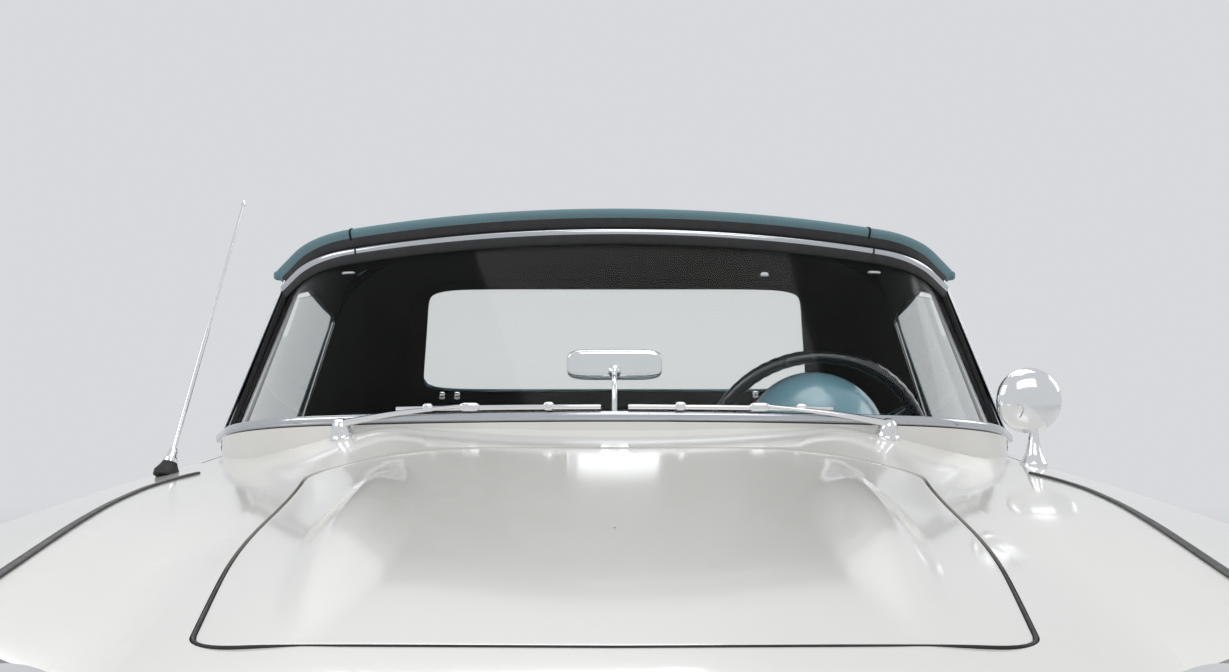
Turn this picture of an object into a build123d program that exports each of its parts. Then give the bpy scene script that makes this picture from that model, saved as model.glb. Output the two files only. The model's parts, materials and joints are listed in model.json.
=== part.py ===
from build123d import *
import math
import os

# A two-seat open sports car of the late 1950s with its fabric roof up. Millimetres. X runs across the
# car with the driver's side at +X, Y runs from the nose (-Y) to the tail (+Y), Z is up from the ground.

# Main sizes
WHEELBASE = 2591.0
FRONT_AXLE_Y = -1410.0
REAR_AXLE_Y = FRONT_AXLE_Y + WHEELBASE
FRONT_WHEEL_X = 724.0
REAR_WHEEL_X = 749.0
TYRE_RADIUS = 345.0
TYRE_WIDTH = 168.0
RIM_RADIUS = 190.0
SKIN = 8.0
GAP = 5.0
SEAT_GAP = 0.3
DOOR_INNER_X = 690.0
DOOR_FRONT_Y = -594.0
DOOR_LENGTH = 1066.0
DOOR_BOTTOM_Z = 300.0
DOOR_HINGE_X = 906.0
HOOD_FRONT_Y = -1892.0
HOOD_REAR_Y = -870.0
HOOD_FRONT_HALF = 415.0
HOOD_WAIST_HALF = 461.0
HOOD_WAIST_Y = -1390.0
HOOD_REAR_HALF = 465.0
LID_FRONT_Y = 1150.0
LID_REAR_Y = 2010.0
LID_HALF = 432.0
HINGE_X = 250.0
HINGE_AHEAD = 68.0
HINGE_PIN_RADIUS = 4.0
HINGE_EYE_RADIUS = 9.0
HINGE_ARM = 12.0
HOOD_HINGE_Z = 760.0
LID_HINGE_Z = 848.0
FLOOR_Z = 245.0
FLOOR_THICK = 12.0
ARCH_Z = 350.0
FRONT_ARCH_RADIUS = 380.0
REAR_ARCH_RADIUS = 376.0
COVE_DEPTH = 20.0
TRIM_PROUD = 4.0

# The outer skin's half sections, from the nose to the tail. Each row is one section, and its corners are
# rounded with SKIN_RADII times the last column.
BODY_STATIONS = (
    # y, z middle, x flat, x valley, z valley, x crest, z crest, x shoulder, z shoulder,
    # x widest, z widest, x sill, z sill, rounding
    (-2190, 668, 180, 330, 662, 430, 652, 520, 612, 556, 500, 500, 345, 0.5),
    (-2150, 722, 220, 400, 714, 540, 722, 665, 690, 715, 520, 655, 290, 0.6),
    (-2060, 765, 260, 470, 752, 620, 798, 765, 768, 820, 570, 775, 250, 0.8),
    (-1880, 795, 300, 500, 778, 638, 830, 822, 800, 884, 600, 850, 225, 1.0),
    (-1410, 846, 300, 505, 818, 655, 855, 854, 824, 921, 610, 888, 212, 1.0),
    (-870, 912, 310, 515, 858, 673, 866, 846, 832, 906, 600, 882, 212, 1.0),
    (-690, 938, 380, 590, 870, 690, 868, 842, 830, 900, 600, 880, 212, 1.0),
    (0, 925, 420, 600, 868, 715, 862, 842, 826, 893, 600, 876, 212, 1.0),
    (600, 884, 420, 600, 868, 722, 874, 856, 838, 906, 610, 884, 212, 1.0),
    (1181, 882, 380, 520, 866, 690, 892, 862, 854, 924, 625, 890, 225, 1.0),
    (1650, 850, 360, 500, 832, 665, 862, 842, 822, 908, 610, 868, 262, 1.0),
    (2010, 772, 320, 470, 762, 625, 790, 775, 752, 845, 580, 800, 305, 0.8),
    (2130, 715, 280, 440, 708, 590, 726, 710, 692, 775, 550, 730, 345, 0.6),
    (2190, 655, 220, 380, 652, 500, 642, 600, 622, 650, 530, 620, 400, 0.5),
)
SKIN_RADII = (260, 150, 130, 90, 240, 30)
END_ROUNDING_Y = 2000.0

# The fabric roof's half sections: y, z middle, x crown, z crown drop, x edge, z edge, x at the belt
ROOF_STATIONS = (
    (-500, 1273, 300, 8, 594, 1212, 744),
    (-390, 1285, 320, 9, 597, 1226, 748),
    (-200, 1303, 330, 9, 600, 1243, 751),
    (0, 1311, 340, 9, 602, 1250, 752),
    (250, 1306, 340, 9, 600, 1243, 754),
    (480, 1276, 330, 9, 593, 1208, 752),
    (660, 1190, 330, 9, 588, 1120, 746),
    (820, 1035, 335, 9, 600, 985, 740),
    (960, 885, 350, 9, 632, 858, 735),
)
ROOF_RADII = (500, 95)
ROOF_BELT_Z = 800.0
ROOF_THICK = 8.0

# The windscreen's two curves. Each lies in its own tilted plane, and half of it is a wide arc, a corner
# arc and a straight end.
GLASS_THICK = 6.0
BASE_CENTRE = Vector(0, -715, 945)
BASE_CORNER = Vector(0, -330, 885)
BASE_CURVE = (1600.0, 17.0, 290.0, 55.0, 130.0)
HEADER_CENTRE = Vector(0, -450, 1266)
HEADER_CORNER = Vector(0, -290, 1180)
HEADER_CURVE = (1600.0, 17.0, 170.0, 40.0, 60.0)


def tilted_plane(centre, corner):
    """The plane through a curve's centre and corner, with X across the car."""
    along = (corner - centre).normalized()
    return Plane(origin=centre, x_dir=(1, 0, 0), z_dir=Vector(1, 0, 0).cross(along))


BASE_PLANE = tilted_plane(BASE_CENTRE, BASE_CORNER)
HEADER_PLANE = tilted_plane(HEADER_CENTRE, HEADER_CORNER)


def side_plane(x):
    """A plane facing +X whose sketch axes are the car's Y and Z."""
    return Plane(origin=(x, 0, 0), x_dir=(0, 1, 0), z_dir=(1, 0, 0))


def section_plane(y):
    """A plane across the car whose sketch axes are the car's X and Z."""
    return Plane(origin=(0, y, 0), x_dir=(1, 0, 0), z_dir=(0, -1, 0))


def rounded_path(points, radii):
    """Closes a line through the points, rounding the second and following ones by tangent arcs."""
    corners = [Vector(*p) for p in points]
    start = corners[0]
    for k, radius in enumerate(radii, 1):
        here = corners[k]
        before = here - corners[k - 1]
        after = corners[k + 1] - here
        half_turn = before.normalized().get_angle(after.normalized()) / 2
        slope = math.tan(math.radians(half_turn))
        reach = min(radius * slope, 0.46 * before.length, 0.46 * after.length)
        first = here - before.normalized() * reach
        last = here + after.normalized() * reach
        bulge = reach / slope * (1 / math.cos(math.radians(half_turn)) - 1)
        middle = here + ((first + last) * 0.5 - here).normalized() * bulge
        Line(start, first)
        ThreePointArc(first, middle, last)
        start = last
    Polyline(start, *corners[len(radii) + 1 :], corners[0])


def inset_points(points, inset):
    """Moves an open outline inwards, square to its sides. Its first and last points stay on its ends."""
    corners = [Vector(*p) for p in points]
    normals = []
    for first, last in zip(corners, corners[1:]):
        along = (last - first).normalized()
        normals.append(Vector(along.Y, -along.X))
    moved = [corners[0] + normals[0] * inset]
    for k in range(1, len(corners) - 1):
        both = normals[k - 1] + normals[k]
        share = inset / (1 + normals[k - 1].dot(normals[k]))
        moved.append(corners[k] + both * share)
    moved.append(corners[-1] + normals[-1] * inset)
    return moved


def lofted(sections, radii):
    """Half a body, +X side, through sections of (y, open outline, rounding), closed at the middle."""
    with BuildPart() as half:
        for y, points, rounding in sections:
            with BuildSketch(section_plane(y)):
                with BuildLine():
                    floor = Vector(0, points[-1].Y)
                    rounded_path([*points, floor], [r * rounding for r in radii])
                make_face()
        loft()
    return half.part


def body_half(inset=0.0, drop=0.0):
    """Half of the body's outer form, moved inwards by inset, its bottom lowered by drop."""
    sections = []
    for y, z_mid, x_flat, x_val, z_val, x_cr, z_cr, x_sh, z_sh, x_w, z_w, x_b, z_b, rnd in BODY_STATIONS:
        outline = [
            (0, z_mid),
            (x_flat, z_mid),
            (x_val, z_val),
            (x_cr, z_cr),
            (x_sh, z_sh),
            (x_w, z_w),
            (x_b, z_b),
        ]
        points = inset_points(outline, inset)
        if drop:
            down = (points[-1] - points[-2]).normalized()
            points[-1] = points[-1] + down * (drop / abs(down.Y))
        end = 1 if y < -END_ROUNDING_Y else -1 if y > END_ROUNDING_Y else 0
        sections.append((y + end * inset, points, rnd))
    return lofted(sections, SKIN_RADII)


def roof_half(inset=0.0):
    """Half of the fabric roof's outer form, moved inwards by inset."""
    sections = []
    for y, z_mid, x_crown, drop, x_edge, z_edge, x_belt in ROOF_STATIONS:
        outline = [(0, z_mid), (x_crown, z_mid - drop), (x_edge, z_edge), (x_belt, ROOF_BELT_Z)]
        points = inset_points(outline, inset)
        sections.append((y, points, 1.0))
    return lofted(sections, ROOF_RADII)


def screen_strip(plane, curve, front, back, longer=0.0):
    """Half of a strip that follows a windscreen curve, from front to back of it, on its plane."""
    wide_radius, wide_turn, corner_radius, corner_turn, straight = curve
    straight = straight + longer
    turn = wide_turn + corner_turn
    heading = Vector(math.cos(math.radians(turn)), math.sin(math.radians(turn)))
    with BuildSketch(plane) as strip:
        with BuildLine():
            outer = JernArc((0, front), (1, 0), wide_radius - front, wide_turn)
            outer_corner = JernArc(outer @ 1, outer % 1, corner_radius - front, corner_turn)
            outer_end = Line(outer_corner @ 1, outer_corner @ 1 + heading * straight)
            inner = JernArc((0, back), (1, 0), wide_radius - back, wide_turn)
            inner_corner = JernArc(inner @ 1, inner % 1, corner_radius - back, corner_turn)
            inner_end = Line(inner_corner @ 1, inner_corner @ 1 + heading * straight)
            Line(outer_end @ 1, inner_end @ 1)
            Line(inner @ 0, outer @ 0)
        make_face()
    return strip.sketch


def save(part, name):
    """Writes one sub-part to its own file."""
    part.label = name
    export_step(part, f"parts/{name}.step")
    print(name, len(part.solids()), part.is_valid)


os.makedirs("parts", exist_ok=True)

# Working forms: the outer skin and the same form moved inwards or outwards
skin_form = body_half()
inside_form = body_half(SKIN, 60)
liner_form = body_half(SKIN + SEAT_GAP, 60)
cove_form = body_half(COVE_DEPTH)
cove_inside_form = body_half(COVE_DEPTH + SKIN, 60)
seat_form = body_half(-SEAT_GAP)
trim_form = body_half(-TRIM_PROUD)
clear_form = body_half(-GAP - 1)
liner_both = liner_form + liner_form.mirror(Plane.YZ)
seat_both = seat_form + seat_form.mirror(Plane.YZ)


def hood_outline(grow):
    """The hood's plan outline, half of it, grown outwards."""
    front = HOOD_FRONT_Y - grow
    rear = HOOD_REAR_Y + grow
    corners = [
        (0, front),
        (300, front + 5),
        (HOOD_FRONT_HALF - 6 + grow, front + 20),
        (HOOD_WAIST_HALF + grow, HOOD_WAIST_Y),
        (HOOD_REAR_HALF + grow, rear),
        (0, rear),
    ]
    with BuildSketch(Plane.XY.offset(600)) as outline:
        with BuildLine():
            rounded_path(corners, (900, 115, 4000, 25))
        make_face()
    return outline.sketch


def lid_outline(grow):
    """The boot lid's plan outline, half of it, grown outwards."""
    front = LID_FRONT_Y - grow
    rear = LID_REAR_Y + grow
    side = LID_HALF + grow
    with BuildSketch(Plane.XY.offset(500)) as outline:
        with BuildLine():
            rounded_path([(0, front), (side, front), (side - 45, rear), (0, rear)], (70, 120))
        make_face()
    return outline.sketch


def cove_outline(grow):
    """The side cove's outline in side view, grown outwards."""
    with BuildSketch(side_plane(700)) as outline:
        with BuildLine():
            top = ThreePointArc((-1085, 690), (-420, 690), (330, 588))
            bottom = ThreePointArc(top @ 1, (-350, 462), (-975, 392))
            ThreePointArc(bottom @ 1, (-1015, 560), top @ 0)
        make_face()
        if grow:
            offset(amount=grow)
    return outline.sketch


with BuildPart() as cove_block:
    extrude(cove_outline(0), amount=300)
with BuildPart() as cove_inside_block:
    extrude(cove_outline(SKIN), amount=300)
with BuildPart() as cove_liner_block:
    extrude(cove_outline(SKIN + SEAT_GAP), amount=300)
liner_form = liner_form - (cove_liner_block.part - body_half(COVE_DEPTH + SKIN + SEAT_GAP, 60))
coved_form = skin_form - (cove_block.part - cove_form)
coved_inside = inside_form - (cove_inside_block.part - cove_inside_form)
shell_form = coved_form - coved_inside

with BuildPart() as door_sweep:
    with BuildSketch(Plane.XY.offset(100)):
        with Locations((DOOR_HINGE_X, DOOR_FRONT_Y)):
            Circle(DOOR_LENGTH)
    extrude(amount=900)
with BuildPart() as door_sweep_wide:
    with BuildSketch(Plane.XY.offset(100)):
        with Locations((DOOR_HINGE_X, DOOR_FRONT_Y)):
            Circle(DOOR_LENGTH + GAP)
    extrude(amount=900)


def arch_cutter(axle_y, radius):
    """A round cut across the body side at a wheel."""
    with BuildPart() as cutter:
        with BuildSketch(side_plane(470)):
            with Locations((axle_y, ARCH_Z)):
                Circle(radius)
        extrude(amount=600)
    return cutter.part


def block(low, high):
    """A plain block between two corners."""
    with BuildPart() as made:
        with Locations(((low[0] + high[0]) / 2, (low[1] + high[1]) / 2, (low[2] + high[2]) / 2)):
            Box(high[0] - low[0], high[1] - low[1], high[2] - low[2])
    return made.part


front_arch = arch_cutter(FRONT_AXLE_Y, FRONT_ARCH_RADIUS)
rear_arch = arch_cutter(REAR_AXLE_Y, REAR_ARCH_RADIUS)

with BuildPart() as hood_prism:
    extrude(hood_outline(0), amount=500)
with BuildPart() as hood_opening:
    extrude(hood_outline(GAP), amount=500)

NOSE_REAR_Y = -1820.0
TAIL_FRONT_Y = 2040.0
COWL_HALF = 500.0
DECK_HALF = 500.0
COCKPIT_REAR_Y = 600.0
JAMB_THICK = 12.0
GRILLE_Z = 508.0
GRILLE_WIDTH = 960.0
GRILLE_HEIGHT = 196.0
GRILLE_TEETH = 9
TOOTH_WIDTH = 28.0
LAMPS = ((535.0, 714.0, -2135.0), (713.0, 710.0, -2098.0))
LAMP_RADIUS = 88.0
LAMP_BACK_Y = -1960.0
PARKING_XZ = (655.0, 500.0)
PARKING_RADIUS = 40.0
TAIL_LAMP_XZ = (560.0, 640.0)
TAIL_LAMP_RADIUS = 42.0
GUARD_X = 420.0
STAY_HALF = 25.0
STAY_Z = 370.0
STAY_THICK = 10.0


def two_sided(half):
    """Adds the mirrored other half."""
    with BuildPart() as whole:
        add(half)
        mirror(about=Plane.YZ)
    return whole.part


def hole(x, z, radius, y_start, y_end):
    """A round cutter along Y."""
    with BuildPart() as cutter:
        with BuildSketch(section_plane(y_start)):
            with Locations((x, z)):
                Circle(radius)
        extrude(amount=y_start - y_end)
    return cutter.part


HOOD_HINGE_Y = HOOD_FRONT_Y - HINGE_AHEAD
LID_HINGE_Y = LID_FRONT_Y - HINGE_AHEAD


def hinge_arm(hinge_y, hinge_z, form):
    """A bent arm under a lid's front edge, from the lid down and forward to its eye on the pin."""
    corners = [
        (hinge_y - 3, hinge_z - 8),
        (hinge_y + 56, hinge_z - 56),
        (hinge_y + 102, hinge_z - 40),
        (hinge_y + 106, hinge_z + 60),
        (hinge_y + 92, hinge_z + 60),
        (hinge_y + 88, hinge_z - 28),
        (hinge_y + 60, hinge_z - 42),
        (hinge_y + 8, hinge_z + 2),
    ]
    with BuildPart() as arm:
        with BuildSketch(side_plane(HINGE_X - HINGE_ARM / 2)):
            with BuildLine():
                Polyline(*corners, close=True)
            make_face()
            with Locations((hinge_y, hinge_z)):
                Circle(HINGE_EYE_RADIUS)
                Circle(HINGE_PIN_RADIUS + SEAT_GAP, mode=Mode.SUBTRACT)
        extrude(amount=HINGE_ARM)
    return arm.part & form


def hinge_bracket(hinge_y, hinge_z, form):
    """The ear under the fixed panel that holds a lid hinge's pin."""
    ear_x = HINGE_X - HINGE_ARM / 2 - GAP - 6
    with BuildPart() as bracket:
        with BuildSketch(side_plane(ear_x)):
            with Locations((hinge_y - 2, hinge_z + 26)):
                Rectangle(20, 68)
        extrude(amount=6)
        with BuildSketch(side_plane(ear_x)):
            with Locations((hinge_y, hinge_z)):
                Circle(HINGE_PIN_RADIUS)
        extrude(amount=6 + GAP + HINGE_ARM + 2)
    return bracket.part & form


# Nose: the front of the body, with the grille mouth, and a nacelle round each lamp that fades into the wing
NACELLE_WALL = 8.0
NACELLE_LIP = 8.0
NACELLE_END_RADIUS = 60.0
NACELLE_END_Y = -1850.0
NACELLE_SINK = 14.0


def nacelle(x, y, z):
    """The cone that rises round a lamp and sinks into the wing behind it."""
    with BuildPart() as cone:
        with BuildSketch(section_plane(y + NACELLE_LIP)):
            with Locations((x, z)):
                Circle(LAMP_RADIUS + NACELLE_WALL)
        with BuildSketch(section_plane(NACELLE_END_Y)):
            with Locations((x, z - NACELLE_SINK)):
                Circle(NACELLE_END_RADIUS)
        loft()
    return cone.part


with BuildPart() as nacelles:
    for lamp_x, lamp_z, lamp_y in LAMPS:
        add(nacelle(lamp_x, lamp_y, lamp_z))
    add(inside_form, mode=Mode.SUBTRACT)
with BuildPart() as nose_half:
    add(shell_form & block((-1, -2300, 100), (1000, NOSE_REAR_Y, 1000)))
    add(nacelles.part)
    add(hood_opening.part, mode=Mode.SUBTRACT)
    with BuildSketch(section_plane(-2300)):
        with Locations((0, GRILLE_Z)):
            SlotOverall(GRILLE_WIDTH, GRILLE_HEIGHT)
    extrude(amount=-300, mode=Mode.SUBTRACT)
    for lamp_x, lamp_z, lamp_y in LAMPS:
        add(hole(lamp_x, lamp_z, LAMP_RADIUS + SEAT_GAP, -2300, LAMP_BACK_Y + SEAT_GAP), mode=Mode.SUBTRACT)
    add(hole(*PARKING_XZ, PARKING_RADIUS + SEAT_GAP, -2300, -2000), mode=Mode.SUBTRACT)
    add(
        block(
            (GUARD_X - STAY_HALF - GAP, -2300, STAY_Z - GAP),
            (GUARD_X + STAY_HALF + GAP, -2000, STAY_Z + STAY_THICK + GAP),
        ),
        mode=Mode.SUBTRACT,
    )
    add(hinge_bracket(HOOD_HINGE_Y, HOOD_HINGE_Z, skin_form))
save(two_sided(nose_half.part), "nose_panel")

# Windscreen glass
FRAME_HALF = 13.0
FRAME_UNDER = 60.0
FRAME_OVER = 9.0
HEADER_OVER = 4.0
HEADER_UNDER = 18.0


def screen_half(grow):
    """Half of the windscreen glass, grown all round."""
    front = -GLASS_THICK / 2 - grow
    back = GLASS_THICK / 2 + grow
    with BuildPart() as glass:
        loft(
            [
                screen_strip(BASE_PLANE.offset(-grow), BASE_CURVE, front, back, grow).face(),
                screen_strip(HEADER_PLANE.offset(grow), HEADER_CURVE, front, back, grow).face(),
            ],
            ruled=True,
        )
    return glass.part


# Cowl: the panel between the bonnet and the windscreen, with an arm under each end of the windscreen
with BuildPart() as cowl_region:
    with BuildSketch(Plane.XY.offset(600)):
        with BuildLine():
            cowl_side = Polyline(
                (0, HOOD_REAR_Y + GAP),
                (COWL_HALF, HOOD_REAR_Y + GAP),
                (COWL_HALF, -790),
                (DOOR_INNER_X - GAP - 1, -620),
                (DOOR_INNER_X - GAP - 1, -315),
                (652, -315),
            )
            inner = Line(cowl_side @ 1, (614, -440))
            corner = ThreePointArc(inner @ 1, (566, -540), (452, -600))
            ThreePointArc(corner @ 1, (228, -650), (0, -665))
            Line((0, -665), cowl_side @ 0)
        make_face()
    extrude(amount=500)
WIPER_PIVOT = (440.0, -685.0)
WIPER_SPINDLE_RADIUS = 12.0
WIPER_SPINDLE_TOP_Z = 954.0
LIP_THICK = 11.0
LIP_DROP = 4.0
LIP_DEPTH = 60.0
lip_strip = screen_strip(
    BASE_PLANE.offset(-LIP_DEPTH), BASE_CURVE, -FRAME_HALF - SEAT_GAP - LIP_THICK, -FRAME_HALF - SEAT_GAP
)
with BuildPart() as cowl_lip:
    extrude(lip_strip, amount=LIP_DEPTH - LIP_DROP, dir=BASE_PLANE.z_dir)
    add(inside_form, mode=Mode.SUBTRACT)
    add(cowl_region.part, mode=Mode.INTERSECT)
with BuildPart() as spindle_notch:
    with BuildSketch(Plane.XY.offset(850)):
        with Locations(WIPER_PIVOT):
            Circle(WIPER_SPINDLE_RADIUS + SEAT_GAP)
    extrude(amount=WIPER_SPINDLE_TOP_Z - 850)
    add(skin_form, mode=Mode.SUBTRACT)
with BuildPart() as cowl_half:
    add(shell_form & cowl_region.part)
    add(cowl_lip.part)
    add(spindle_notch.part, mode=Mode.SUBTRACT)
    add(screen_half(SEAT_GAP), mode=Mode.SUBTRACT)
save(two_sided(cowl_half.part), "cowl_panel")

CABIN_HALF = 690.0

# Front fenders, with the pillar that carries each door
FENDER_REAR_Y = DOOR_FRONT_Y - GAP - 1
fender_region = block((300, NOSE_REAR_Y, 100), (1000, HOOD_REAR_Y + GAP, 1000)) + block(
    (COWL_HALF, HOOD_REAR_Y + GAP, 100), (1000, FENDER_REAR_Y, 1000)
)
pillar_region = block((CABIN_HALF + SEAT_GAP, FENDER_REAR_Y - JAMB_THICK, 212), (1000, FENDER_REAR_Y, 1000))
with BuildPart() as fender:
    add(shell_form & fender_region)
    add((coved_form & pillar_region) & skin_form)
    add(hood_opening.part, mode=Mode.SUBTRACT)
    add(cowl_region.part, mode=Mode.SUBTRACT)
    add(front_arch, mode=Mode.SUBTRACT)
save(fender.part, "fender_front_left")
save(mirror(fender.part, about=Plane.YZ), "fender_front_right")

# Bonnet, with a rib each side that swells and fades forward
RIB_STATIONS = (
    # y, x middle, half width, height
    (-900, 342, 16, 2),
    (-1128, 330, 50, 16),
    (-1356, 317, 56, 18),
    (-1584, 304, 52, 12),
    (-1812, 292, 34, 1.5),
)
RIB_CREST = 0.25
RIB_SINK = 3.0


def skin_top(x, y):
    """The outer skin's height at a place seen from above."""
    found = skin_form.find_intersection_points(Axis((x, y, 2000), (0, 0, -1)))
    return max(point.Z for point, _ in found)


with BuildPart() as rib:
    for rib_y, rib_x, rib_half, rib_height in RIB_STATIONS:
        inner_x = rib_x - rib_half
        outer_x = rib_x + rib_half
        crest_x = rib_x - RIB_CREST * rib_half
        inner_z = skin_top(inner_x, rib_y)
        outer_z = skin_top(outer_x, rib_y)
        with BuildSketch(section_plane(rib_y)):
            with BuildLine():
                Spline(
                    (inner_x, inner_z),
                    (crest_x, skin_top(crest_x, rib_y) + rib_height),
                    (outer_x, outer_z),
                )
                Polyline(
                    (outer_x, outer_z),
                    (outer_x, outer_z - RIB_SINK),
                    (inner_x, inner_z - RIB_SINK),
                    (inner_x, inner_z),
                )
            make_face()
    loft()
with BuildPart() as hood_half:
    add(shell_form & hood_prism.part)
    add(rib.part)
    add(hinge_arm(HOOD_HINGE_Y, HOOD_HINGE_Z, skin_form))
save(two_sided(hood_half.part), "hood")

# Doors, each as thick as the whole door, with a slot in the top for the glass
GLASS_X = 705.0
GLASS_BELT_Z = 870.0
GLASS_LEAN = 0.335
GLASS_PANE = 5.0
GLASS_DOWN_Z = 800.0
ROCKER_TOP_Z = DOOR_BOTTOM_Z - GAP


def pane(grow, low):
    """The leaning door glass, grown all round, down to a height."""
    drop = GLASS_BELT_Z - low
    half = GLASS_PANE / 2 + grow
    with BuildPart() as glass:
        with BuildSketch(section_plane(600)):
            with BuildLine():
                Polyline(
                    (GLASS_X - half + GLASS_LEAN * drop, low),
                    (GLASS_X + half + GLASS_LEAN * drop, low),
                    (GLASS_X + half - GLASS_LEAN * 330, GLASS_BELT_Z + 330),
                    (GLASS_X - half - GLASS_LEAN * 330, GLASS_BELT_Z + 330),
                    close=True,
                )
            make_face()
        extrude(amount=1000)
        with BuildSketch(side_plane(500)):
            with BuildLine():
                Polyline(
                    (-300 - grow, low),
                    (-258 - grow, 1146 + grow),
                    (60, 1160 + grow),
                    (398 + grow, 1110 + grow),
                    (420 + grow, low),
                    close=True,
                )
            make_face()
        extrude(amount=500, mode=Mode.INTERSECT)
    return glass.part


with BuildPart() as door_section:
    with BuildSketch(section_plane(500)):
        with BuildLine():
            Polyline(
                (DOOR_INNER_X, 1000),
                (DOOR_INNER_X, 800),
                (DOOR_INNER_X + 48, 560),
                (DOOR_INNER_X + 48, DOOR_BOTTOM_Z),
                (1000, DOOR_BOTTOM_Z),
                (1000, 1000),
                close=True,
            )
        make_face()
    extrude(amount=500 - DOOR_FRONT_Y)
door_solid = (coved_form & door_section.part) & door_sweep.part
door_left = door_solid - pane(SEAT_GAP, GLASS_DOWN_Z - SEAT_GAP)
save(door_left, "door_left")
save(mirror(door_left, about=Plane.YZ), "door_right")
glass_left = pane(0, GLASS_DOWN_Z)
save(glass_left, "door_glass_left")
save(mirror(glass_left, about=Plane.YZ), "door_glass_right")

# Rear quarters, each with the pillar that the door shuts against
quarter_region = block((DOOR_INNER_X, 350, 100), (1000, COCKPIT_REAR_Y, 1000)) + block(
    (DECK_HALF, COCKPIT_REAR_Y, 100), (1000, TAIL_FRONT_Y, 1000)
)
with BuildPart() as shut_pillar:
    with BuildSketch(Plane.XY.offset(212)):
        with Locations((DOOR_HINGE_X, DOOR_FRONT_Y)):
            Circle(DOOR_LENGTH + GAP + JAMB_THICK)
            Circle(DOOR_LENGTH + GAP, mode=Mode.SUBTRACT)
    extrude(amount=700)
with BuildPart() as quarter:
    add((coved_form & block((DOOR_INNER_X, 350, 212), (1000, 520, 1000))) & shut_pillar.part)
    add(shell_form & quarter_region)
    add(door_sweep_wide.part, mode=Mode.SUBTRACT)
    add(rear_arch, mode=Mode.SUBTRACT)
save(quarter.part, "quarter_left")
save(mirror(quarter.part, about=Plane.YZ), "quarter_right")

# Rear deck round the boot lid, and the lid with its rear edge on an arc about its hinge
LID_SWEEP = math.hypot(LID_REAR_Y - LID_HINGE_Y, LID_HINGE_Z - 766)


def lid_prism(grow):
    """Half of the boot lid's plan outline as a cutter, its rear edge an arc about the hinge."""
    with BuildPart() as prism:
        extrude(lid_outline(grow), amount=600)
        with BuildSketch(side_plane(-10)):
            with Locations((LID_HINGE_Y, LID_HINGE_Z)):
                Circle(LID_SWEEP + grow)
        extrude(amount=600, mode=Mode.INTERSECT)
    return prism.part


with BuildPart() as lid_half:
    add(shell_form & lid_prism(0))
    add(hinge_arm(LID_HINGE_Y, LID_HINGE_Z, skin_form))
deck_region = block((0, COCKPIT_REAR_Y, 400), (DECK_HALF, TAIL_FRONT_Y, 1000))
with BuildPart() as deck_half:
    add((shell_form & deck_region) - lid_prism(GAP))
    add(hinge_bracket(LID_HINGE_Y, LID_HINGE_Z, skin_form))
save(two_sided(deck_half.part), "rear_deck")
save(two_sided(lid_half.part), "trunk_lid")

# Tail
with BuildPart() as tail_half:
    add(shell_form & block((-1, TAIL_FRONT_Y, 100), (1000, 2300, 1000)))
    add(hole(*TAIL_LAMP_XZ, TAIL_LAMP_RADIUS + SEAT_GAP, 2000, 2300), mode=Mode.SUBTRACT)
save(two_sided(tail_half.part), "tail_panel")

# Sills under the doors
with BuildPart() as rocker_section:
    with BuildSketch(section_plane(470)):
        with BuildLine():
            Polyline((692, 212), (1000, 212), (1000, ROCKER_TOP_Z), (692, ROCKER_TOP_Z), close=True)
        make_face()
    extrude(amount=470 - FENDER_REAR_Y)
rocker = (skin_form & rocker_section.part) & door_sweep_wide.part
save(two_sided(rocker), "rockers")

# Underbody: cabin floor with its tunnel, firewall, side walls, bulkhead, boot floor and rear wheelhouses
FIREWALL_Y = -860.0
BOOT_FLOOR_Z = 500.0
TUNNEL_HALF = 100.0
TUNNEL_Z = 400.0
WHEELHOUSE_RADIUS = 403.0
WHEELHOUSE_SHEET = 6.0
REAR_HOUSE_X = 604.0
FRONT_HOUSE_X = 452.0


def wheelhouse(axle_y, inner_x, low):
    """A wheelhouse: an open drum over a wheel with a flat inner wall."""
    with BuildPart() as house:
        with BuildSketch(side_plane(inner_x)):
            with Locations((axle_y, TYRE_RADIUS)):
                Circle(WHEELHOUSE_RADIUS + WHEELHOUSE_SHEET)
        extrude(amount=460)
        with BuildSketch(side_plane(inner_x + WHEELHOUSE_SHEET)):
            with Locations((axle_y, TYRE_RADIUS)):
                Circle(WHEELHOUSE_RADIUS)
        extrude(amount=500, mode=Mode.SUBTRACT)
    above = block((0, axle_y - 500, low), (1000, axle_y + 500, 1000))
    return (house.part & above) & liner_form


cabin = block((0, FIREWALL_Y, FLOOR_Z), (CABIN_HALF, COCKPIT_REAR_Y + FLOOR_THICK, 1000))
hollow = block((-1, FIREWALL_Y + FLOOR_THICK, FLOOR_Z + FLOOR_THICK),
               (CABIN_HALF - FLOOR_THICK, COCKPIT_REAR_Y, 1100))
door_gap = block((CABIN_HALF - 40, DOOR_FRONT_Y - 30, FLOOR_Z + FLOOR_THICK), (1000, 471, 1000))
tunnel_out = block((0, FIREWALL_Y, FLOOR_Z), (TUNNEL_HALF, COCKPIT_REAR_Y + FLOOR_THICK, TUNNEL_Z))
tunnel_in = block((-1, FIREWALL_Y - 1, FLOOR_Z - 1),
                  (TUNNEL_HALF - FLOOR_THICK, COCKPIT_REAR_Y + 100, TUNNEL_Z - FLOOR_THICK))
boot_floor = block((0, COCKPIT_REAR_Y, BOOT_FLOOR_Z), (REAR_HOUSE_X + 3, 2000, BOOT_FLOOR_Z + FLOOR_THICK))
rear_house = wheelhouse(REAR_AXLE_Y, REAR_HOUSE_X, 400)
with BuildPart() as under_half:
    add(cabin & liner_form)
    add(hollow, mode=Mode.SUBTRACT)
    add(door_gap, mode=Mode.SUBTRACT)
    add(tunnel_out)
    add(tunnel_in, mode=Mode.SUBTRACT)
    add(boot_floor & liner_form)
    add(rear_house)
save(two_sided(under_half.part), "underbody")
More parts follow.
